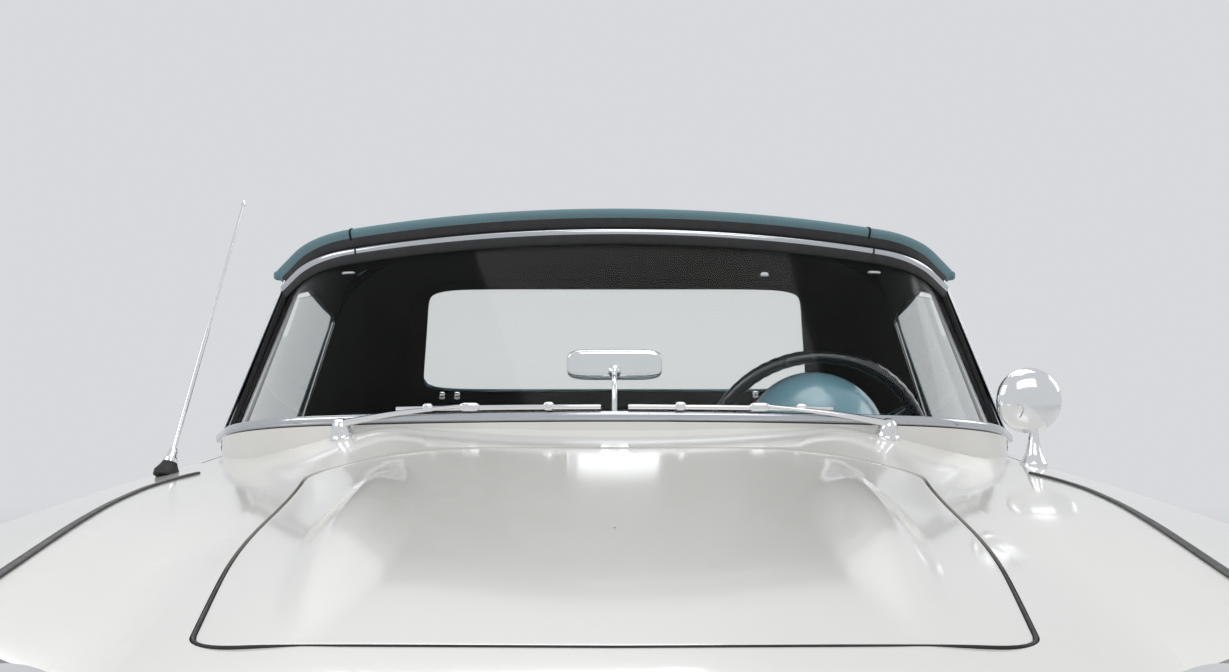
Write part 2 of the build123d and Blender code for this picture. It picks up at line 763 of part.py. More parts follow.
arm_hole = block(
    (FRONT_HOUSE_X - 10, FRONT_AXLE_Y - 130, 300),
    (FRONT_HOUSE_X + WHEELHOUSE_SHEET + 10, FRONT_AXLE_Y + 130, 520),
)
front_house = wheelhouse(FRONT_AXLE_Y, FRONT_HOUSE_X, 330) - arm_hole
save(two_sided(front_house), "front_wheelhouses")

# Windscreen frame and glass
def post_end(plane, curve, start, end):
    """A windscreen post's section in a curve's plane, from start to end past the glass."""
    wide_radius, wide_turn, corner_radius, corner_turn, straight = curve
    turn = math.radians(wide_turn + corner_turn)
    wide = math.radians(wide_turn)
    x = wide_radius * math.sin(wide) + corner_radius * (math.sin(turn) - math.sin(wide))
    y = wide_radius * (1 - math.cos(wide)) + corner_radius * (math.cos(wide) - math.cos(turn))
    heading = Vector(math.cos(turn), math.sin(turn))
    side = Vector(-math.sin(turn), math.cos(turn))
    tip = Vector(x, y) + heading * straight
    corners = [
        tip + heading * start - side * FRAME_HALF,
        tip + heading * end - side * FRAME_HALF,
        tip + heading * end + side * FRAME_HALF,
        tip + heading * start + side * FRAME_HALF,
    ]
    with BuildSketch(plane) as section:
        with BuildLine():
            Polyline(*corners, close=True)
        make_face()
    return section.sketch.face()


header_strip = screen_strip(HEADER_PLANE.offset(-HEADER_UNDER), HEADER_CURVE, -FRAME_HALF, FRAME_HALF)
with BuildPart() as header_extrusion:
    extrude(header_strip, amount=HEADER_UNDER + HEADER_OVER, dir=HEADER_PLANE.z_dir)
header_bar = header_extrusion.part & roof_half(ROOF_THICK + SEAT_GAP)
with BuildPart() as frame_half:
    base_strip = screen_strip(BASE_PLANE.offset(-FRAME_UNDER), BASE_CURVE, -FRAME_HALF, FRAME_HALF)
    extrude(base_strip, amount=FRAME_UNDER + FRAME_OVER, dir=BASE_PLANE.z_dir)
    add(header_bar)
    loft(
        [
            post_end(BASE_PLANE.offset(-10), BASE_CURVE, -16, 14),
            post_end(HEADER_PLANE.offset(-4), HEADER_CURVE, -16, 6),
        ],
        ruled=True,
    )
    add(screen_half(SEAT_GAP), mode=Mode.SUBTRACT)
    add(seat_form, mode=Mode.SUBTRACT)
    add(
        clear_form & block((DOOR_INNER_X - GAP - 1, DOOR_FRONT_Y, 600), (1000, 600, 1200)),
        mode=Mode.SUBTRACT,
    )
save(two_sided(frame_half.part), "windshield_frame")
save(two_sided(screen_half(0)), "windshield_glass")

# Fabric roof with its front strip, side openings and rear window
ROOF_FRONT = -16.0
roof_outer = roof_half()
roof_inner = roof_half(ROOF_THICK)
with BuildPart() as roof_region:
    region_plane = HEADER_PLANE.offset(-1200)
    wide_radius, wide_turn, corner_radius, corner_turn, straight = HEADER_CURVE
    with BuildSketch(region_plane):
        with BuildLine():
            arc = JernArc((0, ROOF_FRONT), (1, 0), wide_radius - ROOF_FRONT, wide_turn)
            corner = JernArc(arc @ 1, arc % 1, corner_radius - ROOF_FRONT, corner_turn)
            tip = corner @ 1 + Vector(math.cos(math.radians(57)), math.sin(math.radians(57))) * straight
            Polyline(corner @ 1, tip, (800, tip.Y), (800, 2500), (0, 2500), (0, ROOF_FRONT))
        make_face()
    extrude(amount=2600)
SIDE_OPENING_REAR_Y = 432.0
with BuildPart() as side_opening:
    with BuildSketch(side_plane(400)):
        with BuildLine():
            Polyline(
                (-800, 700),
                (-800, 1165),
                (-286, 1154),
                (60, 1168),
                (409, 1118),
                (SIDE_OPENING_REAR_Y, 862),
                (SIDE_OPENING_REAR_Y, 700),
                close=True,
            )
        make_face()
    extrude(amount=600)


def rear_pane(grow):
    """Half of the rear window's outline as a cutter."""
    with BuildPart() as cutter:
        with BuildSketch(section_plane(COCKPIT_REAR_Y)):
            with BuildLine():
                half_path = [
                    (0, 1192 + grow),
                    (441 + grow, 1192 + grow),
                    (487 + grow, 935 - grow),
                    (0, 935 - grow),
                ]
                rounded_path(half_path, (60, 60))
            make_face()
        extrude(amount=-500)
    return cutter.part


roof_shell = (roof_outer - roof_inner) & roof_region.part
with BuildPart() as top_half:
    add(roof_shell)
    add(side_opening.part, mode=Mode.SUBTRACT)
    add(seat_form, mode=Mode.SUBTRACT)
    add(rear_pane(SEAT_GAP), mode=Mode.SUBTRACT)
save(two_sided(top_half.part), "soft_top")
save(two_sided(roof_shell & rear_pane(0)), "rear_window")

# Dash, steering column and steering wheel
DASH_HALF = 640.0
DASH_TOP_Z = 905.0
STEER_CENTRE = Vector(380, -205, 854)
STEER_TILT = 23.0
STEER_RADIUS = 202.0
STEER_RIM = 13.0
COLUMN_RADIUS = 24.0
BINNACLE_X = 350.0
BINNACLE_RADIUS = 125.0
BINNACLE_Z = 890.0
BINNACLE_CENTRE_Y = -452.0
BINNACLE_RIM = 18.0
BINNACLE_UNDER_Z = 800.0
tilt = math.radians(STEER_TILT)
steer_axis = Vector(0, math.cos(tilt), math.sin(tilt))
steer_plane = Plane(origin=STEER_CENTRE, x_dir=(1, 0, 0), z_dir=steer_axis)
dash_board = block((-DASH_HALF, -640, 760), (DASH_HALF, -560, DASH_TOP_Z)) & liner_both
with BuildPart() as binnacle_dome:
    with Locations((BINNACLE_X, BINNACLE_CENTRE_Y, BINNACLE_Z)):
        Sphere(BINNACLE_RADIUS)
        Cylinder(
            BINNACLE_RADIUS, BINNACLE_RIM, rotation=(90, 0, 0), align=(Align.CENTER, Align.CENTER, Align.MAX)
        )
    add(
        block(
            (BINNACLE_X - BINNACLE_RADIUS, -1000, BINNACLE_UNDER_Z),
            (BINNACLE_X + BINNACLE_RADIUS, BINNACLE_CENTRE_Y + BINNACLE_RIM, 1100),
        ),
        mode=Mode.INTERSECT,
    )
with BuildPart() as dash:
    add(dash_board)
    add(binnacle_dome.part)
save(dash.part, "dash")
HUB_BACK = 28.0
firewall_gap = STEER_CENTRE.Y - (FIREWALL_Y + FLOOR_THICK) - COLUMN_RADIUS * math.sin(tilt) - SEAT_GAP
column_length = firewall_gap / math.cos(tilt) - HUB_BACK - SEAT_GAP
with BuildPart() as column:
    with BuildSketch(steer_plane.offset(-HUB_BACK - SEAT_GAP)):
        Circle(COLUMN_RADIUS)
    extrude(amount=-column_length)
save(column.part, "steering_column")
with BuildPart() as steering_wheel:
    with BuildSketch(Plane(origin=STEER_CENTRE, x_dir=(1, 0, 0), z_dir=(0, -math.sin(tilt), math.cos(tilt)))):
        with Locations((STEER_RADIUS, 0)):
            Circle(STEER_RIM)
    revolve(axis=Axis(STEER_CENTRE, steer_axis))
    with BuildSketch(steer_plane.offset(-HUB_BACK)):
        Circle(34)
    extrude(amount=HUB_BACK + 8)
    with BuildSketch(steer_plane.offset(-14)):
        for turn in (0, 120, 240):
            with Locations(Rotation(0, 0, turn - 90)):
                with Locations((STEER_RADIUS / 2, 0)):
                    Rectangle(STEER_RADIUS, 26)
    extrude(amount=8)
save(steering_wheel.part, "steering_wheel")

# Seats on their frames
SEAT_X = 352.0
SEAT_HALF = 240.0


def rounded_block(low, high, radius):
    """A block with all its edges rounded."""
    with BuildPart() as made:
        with Locations(((low[0] + high[0]) / 2, (low[1] + high[1]) / 2, (low[2] + high[2]) / 2)):
            Box(high[0] - low[0], high[1] - low[1], high[2] - low[2])
        fillet(made.edges(), radius)
    return made.part


with BuildPart() as seat:
    add(block((SEAT_X - 200, -80, FLOOR_Z + FLOOR_THICK + SEAT_GAP), (SEAT_X + 200, 360, 345)))
    add(rounded_block((SEAT_X - SEAT_HALF, -120, 330), (SEAT_X + SEAT_HALF, 420, 480), 40))
    with BuildSketch(side_plane(SEAT_X - SEAT_HALF)):
        with BuildLine():
            Polyline((330, 400), (455, 400), (585, 800), (560, 872), (480, 860), (420, 700), close=True)
        make_face()
    extrude(amount=2 * SEAT_HALF)
save(seat.part, "seat_left")
save(mirror(seat.part, about=Plane.YZ), "seat_right")

# Grille: a ring in the mouth with a row of teeth on a bar
GRILLE_FRONT_Y = -2206.0
with BuildPart() as grille:
    with BuildSketch(section_plane(-2120)):
        with Locations((0, GRILLE_Z)):
            SlotOverall(GRILLE_WIDTH - 2 * SEAT_GAP, GRILLE_HEIGHT - 2 * SEAT_GAP)
            SlotOverall(GRILLE_WIDTH - 40, GRILLE_HEIGHT - 40, mode=Mode.SUBTRACT)
    extrude(amount=GRILLE_FRONT_Y * -1 - 2120)
    add(block((-GRILLE_WIDTH / 2 + 12, -2150, GRILLE_Z - 12), (GRILLE_WIDTH / 2 - 12, -2130, GRILLE_Z + 12)))
    for tooth in range(GRILLE_TEETH):
        tooth_x = (tooth - (GRILLE_TEETH - 1) / 2) * (GRILLE_WIDTH - 180) / (GRILLE_TEETH - 1)
        with BuildSketch(side_plane(tooth_x - TOOTH_WIDTH / 2)):
            with BuildLine():
                Line((-2140, GRILLE_Z - 84), (-2140, GRILLE_Z + 84))
                ThreePointArc((-2140, GRILLE_Z + 84), (-2202, GRILLE_Z), (-2140, GRILLE_Z - 84))
            make_face()
        extrude(amount=TOOTH_WIDTH)
save(grille.part, "grille")

# Lamps
LENS_RADIUS = 74.0
LENS_BULGE = 15.0
LENS_CURVE = 190.0


def lens(x, y, z):
    """A headlamp's domed glass standing out of its bezel."""
    with BuildPart() as dome:
        with Locations((x, y - LENS_BULGE + LENS_CURVE, z)):
            Sphere(LENS_CURVE)
        with BuildSketch(section_plane(y + 4)):
            with Locations((x, z)):
                Circle(LENS_RADIUS)
        extrude(amount=4 + LENS_BULGE, mode=Mode.INTERSECT)
    return dome.part


with BuildPart() as headlamps:
    for lamp_x, lamp_z, lamp_y in LAMPS:
        with BuildSketch(section_plane(LAMP_BACK_Y)):
            with Locations((lamp_x, lamp_z)):
                Circle(LAMP_RADIUS)
        extrude(amount=LAMP_BACK_Y - lamp_y)
    rims = headlamps.faces().filter_by(Axis.Y).filter_by(lambda f: f.center().Y < LAMP_BACK_Y - 1)
    chamfer(rims.edges(), 5)
    for lamp_x, lamp_z, lamp_y in LAMPS:
        add(lens(lamp_x, lamp_y, lamp_z))
    mirror(about=Plane.YZ)
save(headlamps.part, "headlamps")
with BuildPart() as parking_lamps:
    with BuildSketch(section_plane(-2060)):
        with Locations(PARKING_XZ):
            Circle(PARKING_RADIUS)
    extrude(amount=110)
    mirror(about=Plane.YZ)
save(parking_lamps.part, "parking_lamps")
with BuildPart() as tail_lamps:
    with BuildSketch(section_plane(2060)):
        with Locations(TAIL_LAMP_XZ):
            Circle(TAIL_LAMP_RADIUS)
    extrude(amount=-130)
    mirror(about=Plane.YZ)
save(tail_lamps.part, "tail_lamps")

# Bumpers
BUMPER_Y = 2250.0
BUMPER_THICK = 14.0
BUMPER_LOW_Z = 350.0
BUMPER_HIGH_Z = 440.0
GUARD_Y = 2223.0
BUMPERS = (
    # name, end of the car, middle x, y, corner x, y, end x, y
    ("front_bumper", -1, 650, 2212, 880, 2085, 917, 1880),
    ("rear_bumper", 1, 660, 2214, 884, 2095, 917, 1900),
)
for name, end, middle_x, middle_y, corner_x, corner_y, end_x, end_y in BUMPERS:
    with BuildPart() as bar:
        with BuildSketch(Plane.XY.offset(BUMPER_LOW_Z)):
            with BuildLine():
                inner_end = (280, end * (BUMPER_Y - 30))
                ThreePointArc(inner_end, (middle_x, end * middle_y), (corner_x, end * corner_y))
                Line((corner_x, end * corner_y), (end_x, end * end_y))
            trace(line_width=BUMPER_THICK)
        extrude(amount=BUMPER_HIGH_Z - BUMPER_LOW_Z)
        with BuildSketch(Plane.XY.offset(BUMPER_LOW_Z - 20)):
            with Locations((GUARD_X, end * GUARD_Y)):
                Ellipse(38, BUMPER_Y - GUARD_Y)
        extrude(amount=BUMPER_HIGH_Z - BUMPER_LOW_Z + 50, taper=8)
        add(
            block(
                (GUARD_X - STAY_HALF, min(end * GUARD_Y, end * 2050), STAY_Z),
                (GUARD_X + STAY_HALF, max(end * GUARD_Y, end * 2050), STAY_Z + STAY_THICK),
            )
        )
    save(two_sided(bar.part), name)

# Frame: two rails that rise over the rear axle, with crossmembers, towers and spring brackets
RAIL_X = 380.0
RAIL_HALF = 30.0
RAIL_TOP_Z = FLOOR_Z - SEAT_GAP
RAIL_LOW_Z = 150.0
END_TOP_Z = STAY_Z - SEAT_GAP
END_LOW_Z = 290.0
KICK_TOP_Z = BOOT_FLOOR_Z - SEAT_GAP
KICK_LOW_Z = 405.0
ENGINE_Z = 300.0
GEARBOX_Z = FLOOR_Z + SEAT_GAP
PIPE_RADIUS = 24.0
PIPE_Z = 189.0
MEMBER_LOW_Z = PIPE_Z + PIPE_RADIUS + SEAT_GAP
SPRING_X = 520.0
SPRING_EYES = ((642.0, 300.0), (1760.0, 330.0))
EYE_RADIUS = 15.0
TOWER_TOP_Z = 480.0
with BuildPart() as rail:
    with BuildSketch(side_plane(RAIL_X - RAIL_HALF)):
        with BuildLine():
            Polyline(
                (-2070, END_LOW_Z),
                (-2070, END_TOP_Z),
                (-1850, END_TOP_Z),
                (-1640, RAIL_TOP_Z),
                (640, RAIL_TOP_Z),
                (880, KICK_TOP_Z),
                (1500, KICK_TOP_Z),
                (1850, END_TOP_Z),
                (2070, END_TOP_Z),
                (2070, END_LOW_Z),
                (1850, END_LOW_Z),
                (1500, KICK_LOW_Z),
                (930, KICK_LOW_Z),
                (700, RAIL_LOW_Z),
                (-1560, RAIL_LOW_Z),
                (-1850, END_LOW_Z),
                close=True,
            )
        make_face()
    extrude(amount=2 * RAIL_HALF)
    inner_x = RAIL_X - RAIL_HALF + 1
    outer_x = RAIL_X + RAIL_HALF
    add(block((0, -1480, 160), (inner_x, -1360, ENGINE_Z - SEAT_GAP)))
    for member_y in (-640, 540):
        add(block((0, member_y - 40, MEMBER_LOW_Z), (inner_x, member_y + 40, FLOOR_Z)))
    add(block((0, 1480, KICK_LOW_Z + 10), (inner_x, 1560, KICK_TOP_Z - 30)))
    add(block((0, -2060, END_LOW_Z), (inner_x, -2000, END_TOP_Z - 20)))
    add(block((RAIL_X - 20, -1450, RAIL_TOP_Z - 5), (outer_x - SEAT_GAP, -1370, TOWER_TOP_Z)))
    (eye_y, eye_z), (rear_eye_y, rear_eye_z) = SPRING_EYES
    add(block((outer_x - 1, eye_y - 20, 190), (SPRING_X + 30, eye_y + 20, eye_z - EYE_RADIUS - SEAT_GAP)))
    add(
        block(
            (outer_x - 1, rear_eye_y - 20, rear_eye_z + EYE_RADIUS + SEAT_GAP),
            (SPRING_X + 30, rear_eye_y + 20, 385),
        )
    )
save(two_sided(rail.part), "ladder_frame")

# Engine and gearbox as plain blocks at their real place
with BuildPart() as engine:
    add(block((-240, -1500, ENGINE_Z), (240, -980, 740)))
    add(block((-80, -981, GEARBOX_Z), (80, -560, 380)))
save(engine.part, "engine_block")

# Front suspension arms, and the knuckles that turn on their ends
KINGPIN_X = 640.0
KINGPIN_RADIUS = 16.0
ARM_X = RAIL_X + RAIL_HALF + SEAT_GAP
LOWER_ARM_Z = (216.0, 240.0)
UPPER_ARM_Z = (456.0, 478.0)
SPINDLE_RADIUS = 18.0
SPINDLE_GAP = 0.3
WHEEL_BORE_OUT = 42.0
TRACK_ROD_XY = (600.0, FRONT_AXLE_Y + 150)
TRACK_ROD_Z = 271.0
TRACK_ROD_RADIUS = 11.0
with BuildPart() as arms:
    for low, high in (LOWER_ARM_Z, UPPER_ARM_Z):
        with BuildSketch(Plane.XY.offset(low)):
            with BuildLine():
                Polyline(
                    (ARM_X, FRONT_AXLE_Y - 110 + (low > 300) * 72),
                    (KINGPIN_X, FRONT_AXLE_Y - 18),
                    (KINGPIN_X, FRONT_AXLE_Y + 18),
                    (ARM_X, FRONT_AXLE_Y + 110 - (low > 300) * 72),
                    close=True,
                )
            make_face()
            with Locations((KINGPIN_X, FRONT_AXLE_Y)):
                Circle(20)
        extrude(amount=high - low)
save(two_sided(arms.part), "front_suspension")
with BuildPart() as knuckle:
    post_low = LOWER_ARM_Z[1] + SEAT_GAP
    post_high = UPPER_ARM_Z[0] - SEAT_GAP
    with Locations((KINGPIN_X, FRONT_AXLE_Y, (post_low + post_high) / 2)):
        Cylinder(KINGPIN_RADIUS, post_high - post_low)
    with BuildSketch(side_plane(KINGPIN_X)):
        with Locations((FRONT_AXLE_Y, TYRE_RADIUS)):
            Circle(SPINDLE_RADIUS)
    extrude(amount=FRONT_WHEEL_X - KINGPIN_X + WHEEL_BORE_OUT - SPINDLE_GAP)
    with BuildSketch(side_plane(KINGPIN_X + 30)):
        with Locations((FRONT_AXLE_Y, TYRE_RADIUS)):
            Circle(138)
    extrude(amount=8)
    rod_top = TRACK_ROD_Z - TRACK_ROD_RADIUS - SEAT_GAP
    with BuildSketch(Plane.XY.offset(rod_top - 12)):
        with BuildLine():
            Polyline(
                (KINGPIN_X - 14, FRONT_AXLE_Y),
                (TRACK_ROD_XY[0] - 14, TRACK_ROD_XY[1]),
                (TRACK_ROD_XY[0] + 14, TRACK_ROD_XY[1]),
                (KINGPIN_X + 14, FRONT_AXLE_Y),
                close=True,
            )
        make_face()
        with Locations(TRACK_ROD_XY):
            Circle(16)
    extrude(amount=12)
save(knuckle.part, "knuckle_left")
save(mirror(knuckle.part, about=Plane.YZ), "knuckle_right")
with BuildPart() as track_rod:
    with BuildSketch(side_plane(-TRACK_ROD_XY[0])):
        with Locations((TRACK_ROD_XY[1], TRACK_ROD_Z)):
            Circle(TRACK_ROD_RADIUS)
    extrude(amount=2 * TRACK_ROD_XY[0])
save(track_rod.part, "track_rod")

# Rear axle with its springs and the shaft from the gearbox
with BuildPart() as rear_axle:
    with BuildSketch(side_plane(-REAR_WHEEL_X + 60)):
        with Locations((REAR_AXLE_Y, TYRE_RADIUS)):
            Circle(38)
    extrude(amount=2 * REAR_WHEEL_X - 120)
    with BuildSketch(side_plane(-REAR_WHEEL_X - WHEEL_BORE_OUT + SPINDLE_GAP)):
        with Locations((REAR_AXLE_Y, TYRE_RADIUS)):
            Circle(SPINDLE_RADIUS)
    extrude(amount=2 * (REAR_WHEEL_X + WHEEL_BORE_OUT - SPINDLE_GAP))
    with Locations((0, REAR_AXLE_Y, TYRE_RADIUS)):
        Sphere(118)
    with BuildSketch(section_plane(-560 + SEAT_GAP)):
        with Locations((0, TYRE_RADIUS)):
            Circle(34)
    extrude(amount=-1700)
    for side in (-SPRING_X, SPRING_X):
        with BuildSketch(side_plane(side - 30)):
            with BuildLine():
                (eye_y, eye_z), (rear_eye_y, rear_eye_z) = SPRING_EYES
                ThreePointArc((eye_y, eye_z + 8), (REAR_AXLE_Y, 312), (rear_eye_y, rear_eye_z + 8))
                Line((rear_eye_y, rear_eye_z + 8), (rear_eye_y, rear_eye_z - 8))
                ThreePointArc((rear_eye_y, rear_eye_z - 8), (REAR_AXLE_Y, 276), (eye_y, eye_z - 8))
                Line((eye_y, eye_z - 8), (eye_y, eye_z + 8))
            make_face()
            with Locations(*SPRING_EYES):
                Circle(EYE_RADIUS)
        extrude(amount=60)
save(rear_axle.part, "rear_axle")

# Exhaust: a pipe and silencer each side
PIPE_X = 215.0
with BuildPart() as exhaust:
    with BuildSketch(section_plane(-970)):
        with Locations((PIPE_X, PIPE_Z)):
            Circle(PIPE_RADIUS)
    extrude(amount=-3100)
    with BuildSketch(section_plane(-100)):
        with Locations((PIPE_X, PIPE_Z - 6)):
            Ellipse(85, 27)
    extrude(amount=-520)
    mirror(about=Plane.YZ)
save(exhaust.part, "exhaust")

# Wheels and tyres
with BuildPart() as wheel_shape:
    with BuildSketch(Plane.XZ):
        with BuildLine():
            Polyline(
                (-82, RIM_RADIUS - 6),
                (-82, RIM_RADIUS + 13),
                (-78, RIM_RADIUS + 13),
                (-78, RIM_RADIUS),
                (78, RIM_RADIUS),
                (78, RIM_RADIUS + 13),
                (82, RIM_RADIUS + 13),
                (82, RIM_RADIUS - 6),
                close=True,
            )
        make_face()
        with BuildLine():
            Polyline(
                (-40, SPINDLE_RADIUS + SPINDLE_GAP),
                (-40, 70),
                (-2, 78),
                (-2, RIM_RADIUS - 5),
                (12, RIM_RADIUS - 5),
                (20, 150),
                (46, 110),
                (58, 60),
                (62, 0),
                (WHEEL_BORE_OUT, 0),
                (WHEEL_BORE_OUT, SPINDLE_RADIUS + SPINDLE_GAP),
                close=True,
            )
        make_face()
    revolve(axis=Axis.X)
BEAD_HALF = 73.0
TREAD_HALF = 58.0
with BuildPart() as tyre_shape:
    with BuildSketch(Plane.XZ):
        with BuildLine():
            half_profile = [
                (BEAD_HALF, RIM_RADIUS + SEAT_GAP),
                (TYRE_WIDTH / 2, RIM_RADIUS + 68),
                (TYRE_WIDTH / 2 - 8, TYRE_RADIUS - 24),
                (TREAD_HALF, TYRE_RADIUS),
            ]
            other_half = [(-along, radius) for along, radius in reversed(half_profile)]
            Polyline(*half_profile, *other_half, close=True)
        make_face()
    revolve(axis=Axis.X)
WHEEL_PLACES = (
    # name, x, y, outer side
    ("front_left", FRONT_WHEEL_X, FRONT_AXLE_Y, 1),
    ("front_right", -FRONT_WHEEL_X, FRONT_AXLE_Y, -1),
    ("rear_left", REAR_WHEEL_X, REAR_AXLE_Y, 1),
    ("rear_right", -REAR_WHEEL_X, REAR_AXLE_Y, -1),
)
for place, wheel_x, wheel_y, side in WHEEL_PLACES:
    wheel = wheel_shape.part if side > 0 else mirror(wheel_shape.part, about=Plane.YZ)
    save(Pos(wheel_x, wheel_y, TYRE_RADIUS) * wheel, f"wheel_{place}")
    save(Pos(wheel_x, wheel_y, TYRE_RADIUS) * tyre_shape.part, f"tyre_{place}")

# Small pieces: mirrors, aerial and wipers
with BuildPart() as outside_mirror:
    with BuildSketch(Plane.XY.offset(862)):
        with Locations((690, -640)):
            Circle(22)
    extrude(amount=74, taper=12)
    with BuildSketch(section_plane(-655)):
        with Locations((683, 974)):
            Circle(54)
    extrude(amount=-24)
    add(seat_form, mode=Mode.SUBTRACT)
save(outside_mirror.part, "outside_mirror")
with BuildPart() as inside_mirror:
    with BuildSketch(Plane.XY.offset(DASH_TOP_Z + SEAT_GAP)):
        with Locations((0, -622)):
            Circle(8)
    extrude(amount=1015 - DASH_TOP_Z)
    add(block((-8, -630, 1008), (8, -560, 1022)))
    add(rounded_block((-80, -570, 1004), (80, -548, 1056), 9))
save(inside_mirror.part, "inside_mirror")
ANTENNA_FOOT = Vector(-700, -750, 862)
ANTENNA_TIP = Vector(-618, -560, 1305)
with BuildPart() as antenna:
    mast_plane = Plane(origin=ANTENNA_FOOT, z_dir=ANTENNA_TIP - ANTENNA_FOOT)
    mast_length = (ANTENNA_TIP - ANTENNA_FOOT).length
    with BuildSketch(mast_plane):
        Circle(15)
    extrude(amount=42, taper=14)
    with BuildSketch(mast_plane):
        Circle(3.2)
    extrude(amount=mast_length)
    add(seat_both, mode=Mode.SUBTRACT)
save(antenna.part, "antenna")
BLADE_ENDS = (22.0, 350.0)
ARM_ENDS = (230.0, 441.0)
blade_strip = screen_strip(BASE_PLANE.offset(16), BASE_CURVE, -20, -9)
arm_strip = screen_strip(BASE_PLANE.offset(14), BASE_CURVE, -30, -18)
with BuildPart() as wiper_bands:
    extrude(blade_strip, amount=12, dir=BASE_PLANE.z_dir)
with BuildPart() as arm_bands:
    extrude(arm_strip, amount=6, dir=BASE_PLANE.z_dir)
with BuildPart() as wiper:
    add(wiper_bands.part & block((BLADE_ENDS[0], -900, 800), (BLADE_ENDS[1], -400, 1100)))
    add(arm_bands.part & block((ARM_ENDS[0], -900, 800), (ARM_ENDS[1], -400, 1100)))
    with BuildSketch(Plane.XY.offset(850)):
        with Locations(WIPER_PIVOT):
            Circle(WIPER_SPINDLE_RADIUS)
    extrude(amount=WIPER_SPINDLE_TOP_Z - 850)
    add(seat_form, mode=Mode.SUBTRACT)
save(two_sided(wiper.part), "wipers")

# Bright mouldings: round the cove, on the fenders and on the doors, and along the tops of the fenders
with BuildPart() as cove_ring:
    extrude(cove_outline(15), amount=300)
    extrude(cove_outline(1), amount=300, mode=Mode.SUBTRACT)
moulding_form = (trim_form - seat_form) & cove_ring.part
fender_part = moulding_form & block((600, -1500, 300), (1000, FENDER_REAR_Y, 900))
door_part = moulding_form & block((600, DOOR_FRONT_Y, 300), (1000, 460, 900))
with BuildPart() as crest_prism:
    with BuildSketch(Plane.XY.offset(700)):
        with BuildLine():
            Polyline(
                (612, -2020), (624, -2020), (643, -1500), (674, -900), (668, -900), (632, -1500), close=True
            )
        make_face()
    extrude(amount=300)
crest_part = (trim_form - seat_form) & crest_prism.part
SPEAR_PROUD = 8.0
SPEAR_LENGTH = 190.0
SPEAR_WIDTH = 17.0
SPEAR_PITCH = 52.0
with BuildPart() as spear_prism:
    with BuildSketch(side_plane(700)):
        with Locations(*[(-880, 560 + step * SPEAR_PITCH) for step in (-1, 0, 1)]):
            SlotOverall(SPEAR_LENGTH, SPEAR_WIDTH)
    extrude(amount=300)
spears = (body_half(COVE_DEPTH - SPEAR_PROUD) - body_half(COVE_DEPTH - SEAT_GAP)) & spear_prism.part
with BuildPart() as fender_trim:
    add(fender_part - front_arch)
    add(crest_part)
    add(spears)
save(two_sided(fender_trim.part), "fender_mouldings")
save(door_part, "door_moulding_left")
save(mirror(door_part, about=Plane.YZ), "door_moulding_right")
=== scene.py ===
import json
import logging
import math
from dataclasses import dataclass, field
from enum import Enum

import bmesh
import bpy
import numpy as np
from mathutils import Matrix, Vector
from mathutils.bvhtree import BVHTree


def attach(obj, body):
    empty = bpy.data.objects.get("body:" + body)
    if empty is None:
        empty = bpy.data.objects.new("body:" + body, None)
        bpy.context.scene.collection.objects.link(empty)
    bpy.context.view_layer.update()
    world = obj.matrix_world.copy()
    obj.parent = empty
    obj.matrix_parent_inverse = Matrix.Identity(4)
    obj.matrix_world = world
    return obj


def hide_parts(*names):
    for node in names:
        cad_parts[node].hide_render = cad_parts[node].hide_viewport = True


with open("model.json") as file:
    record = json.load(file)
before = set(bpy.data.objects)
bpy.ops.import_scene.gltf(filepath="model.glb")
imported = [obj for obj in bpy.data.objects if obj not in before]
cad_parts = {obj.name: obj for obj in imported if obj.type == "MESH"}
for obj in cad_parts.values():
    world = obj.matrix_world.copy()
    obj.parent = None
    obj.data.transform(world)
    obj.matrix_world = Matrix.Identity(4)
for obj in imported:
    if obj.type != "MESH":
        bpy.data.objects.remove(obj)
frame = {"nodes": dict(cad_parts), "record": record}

LOG = logging.getLogger("sports_car")
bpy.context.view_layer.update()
Array = np.ndarray
Colour = tuple[float, float, float]
Point = tuple[float, float, float]


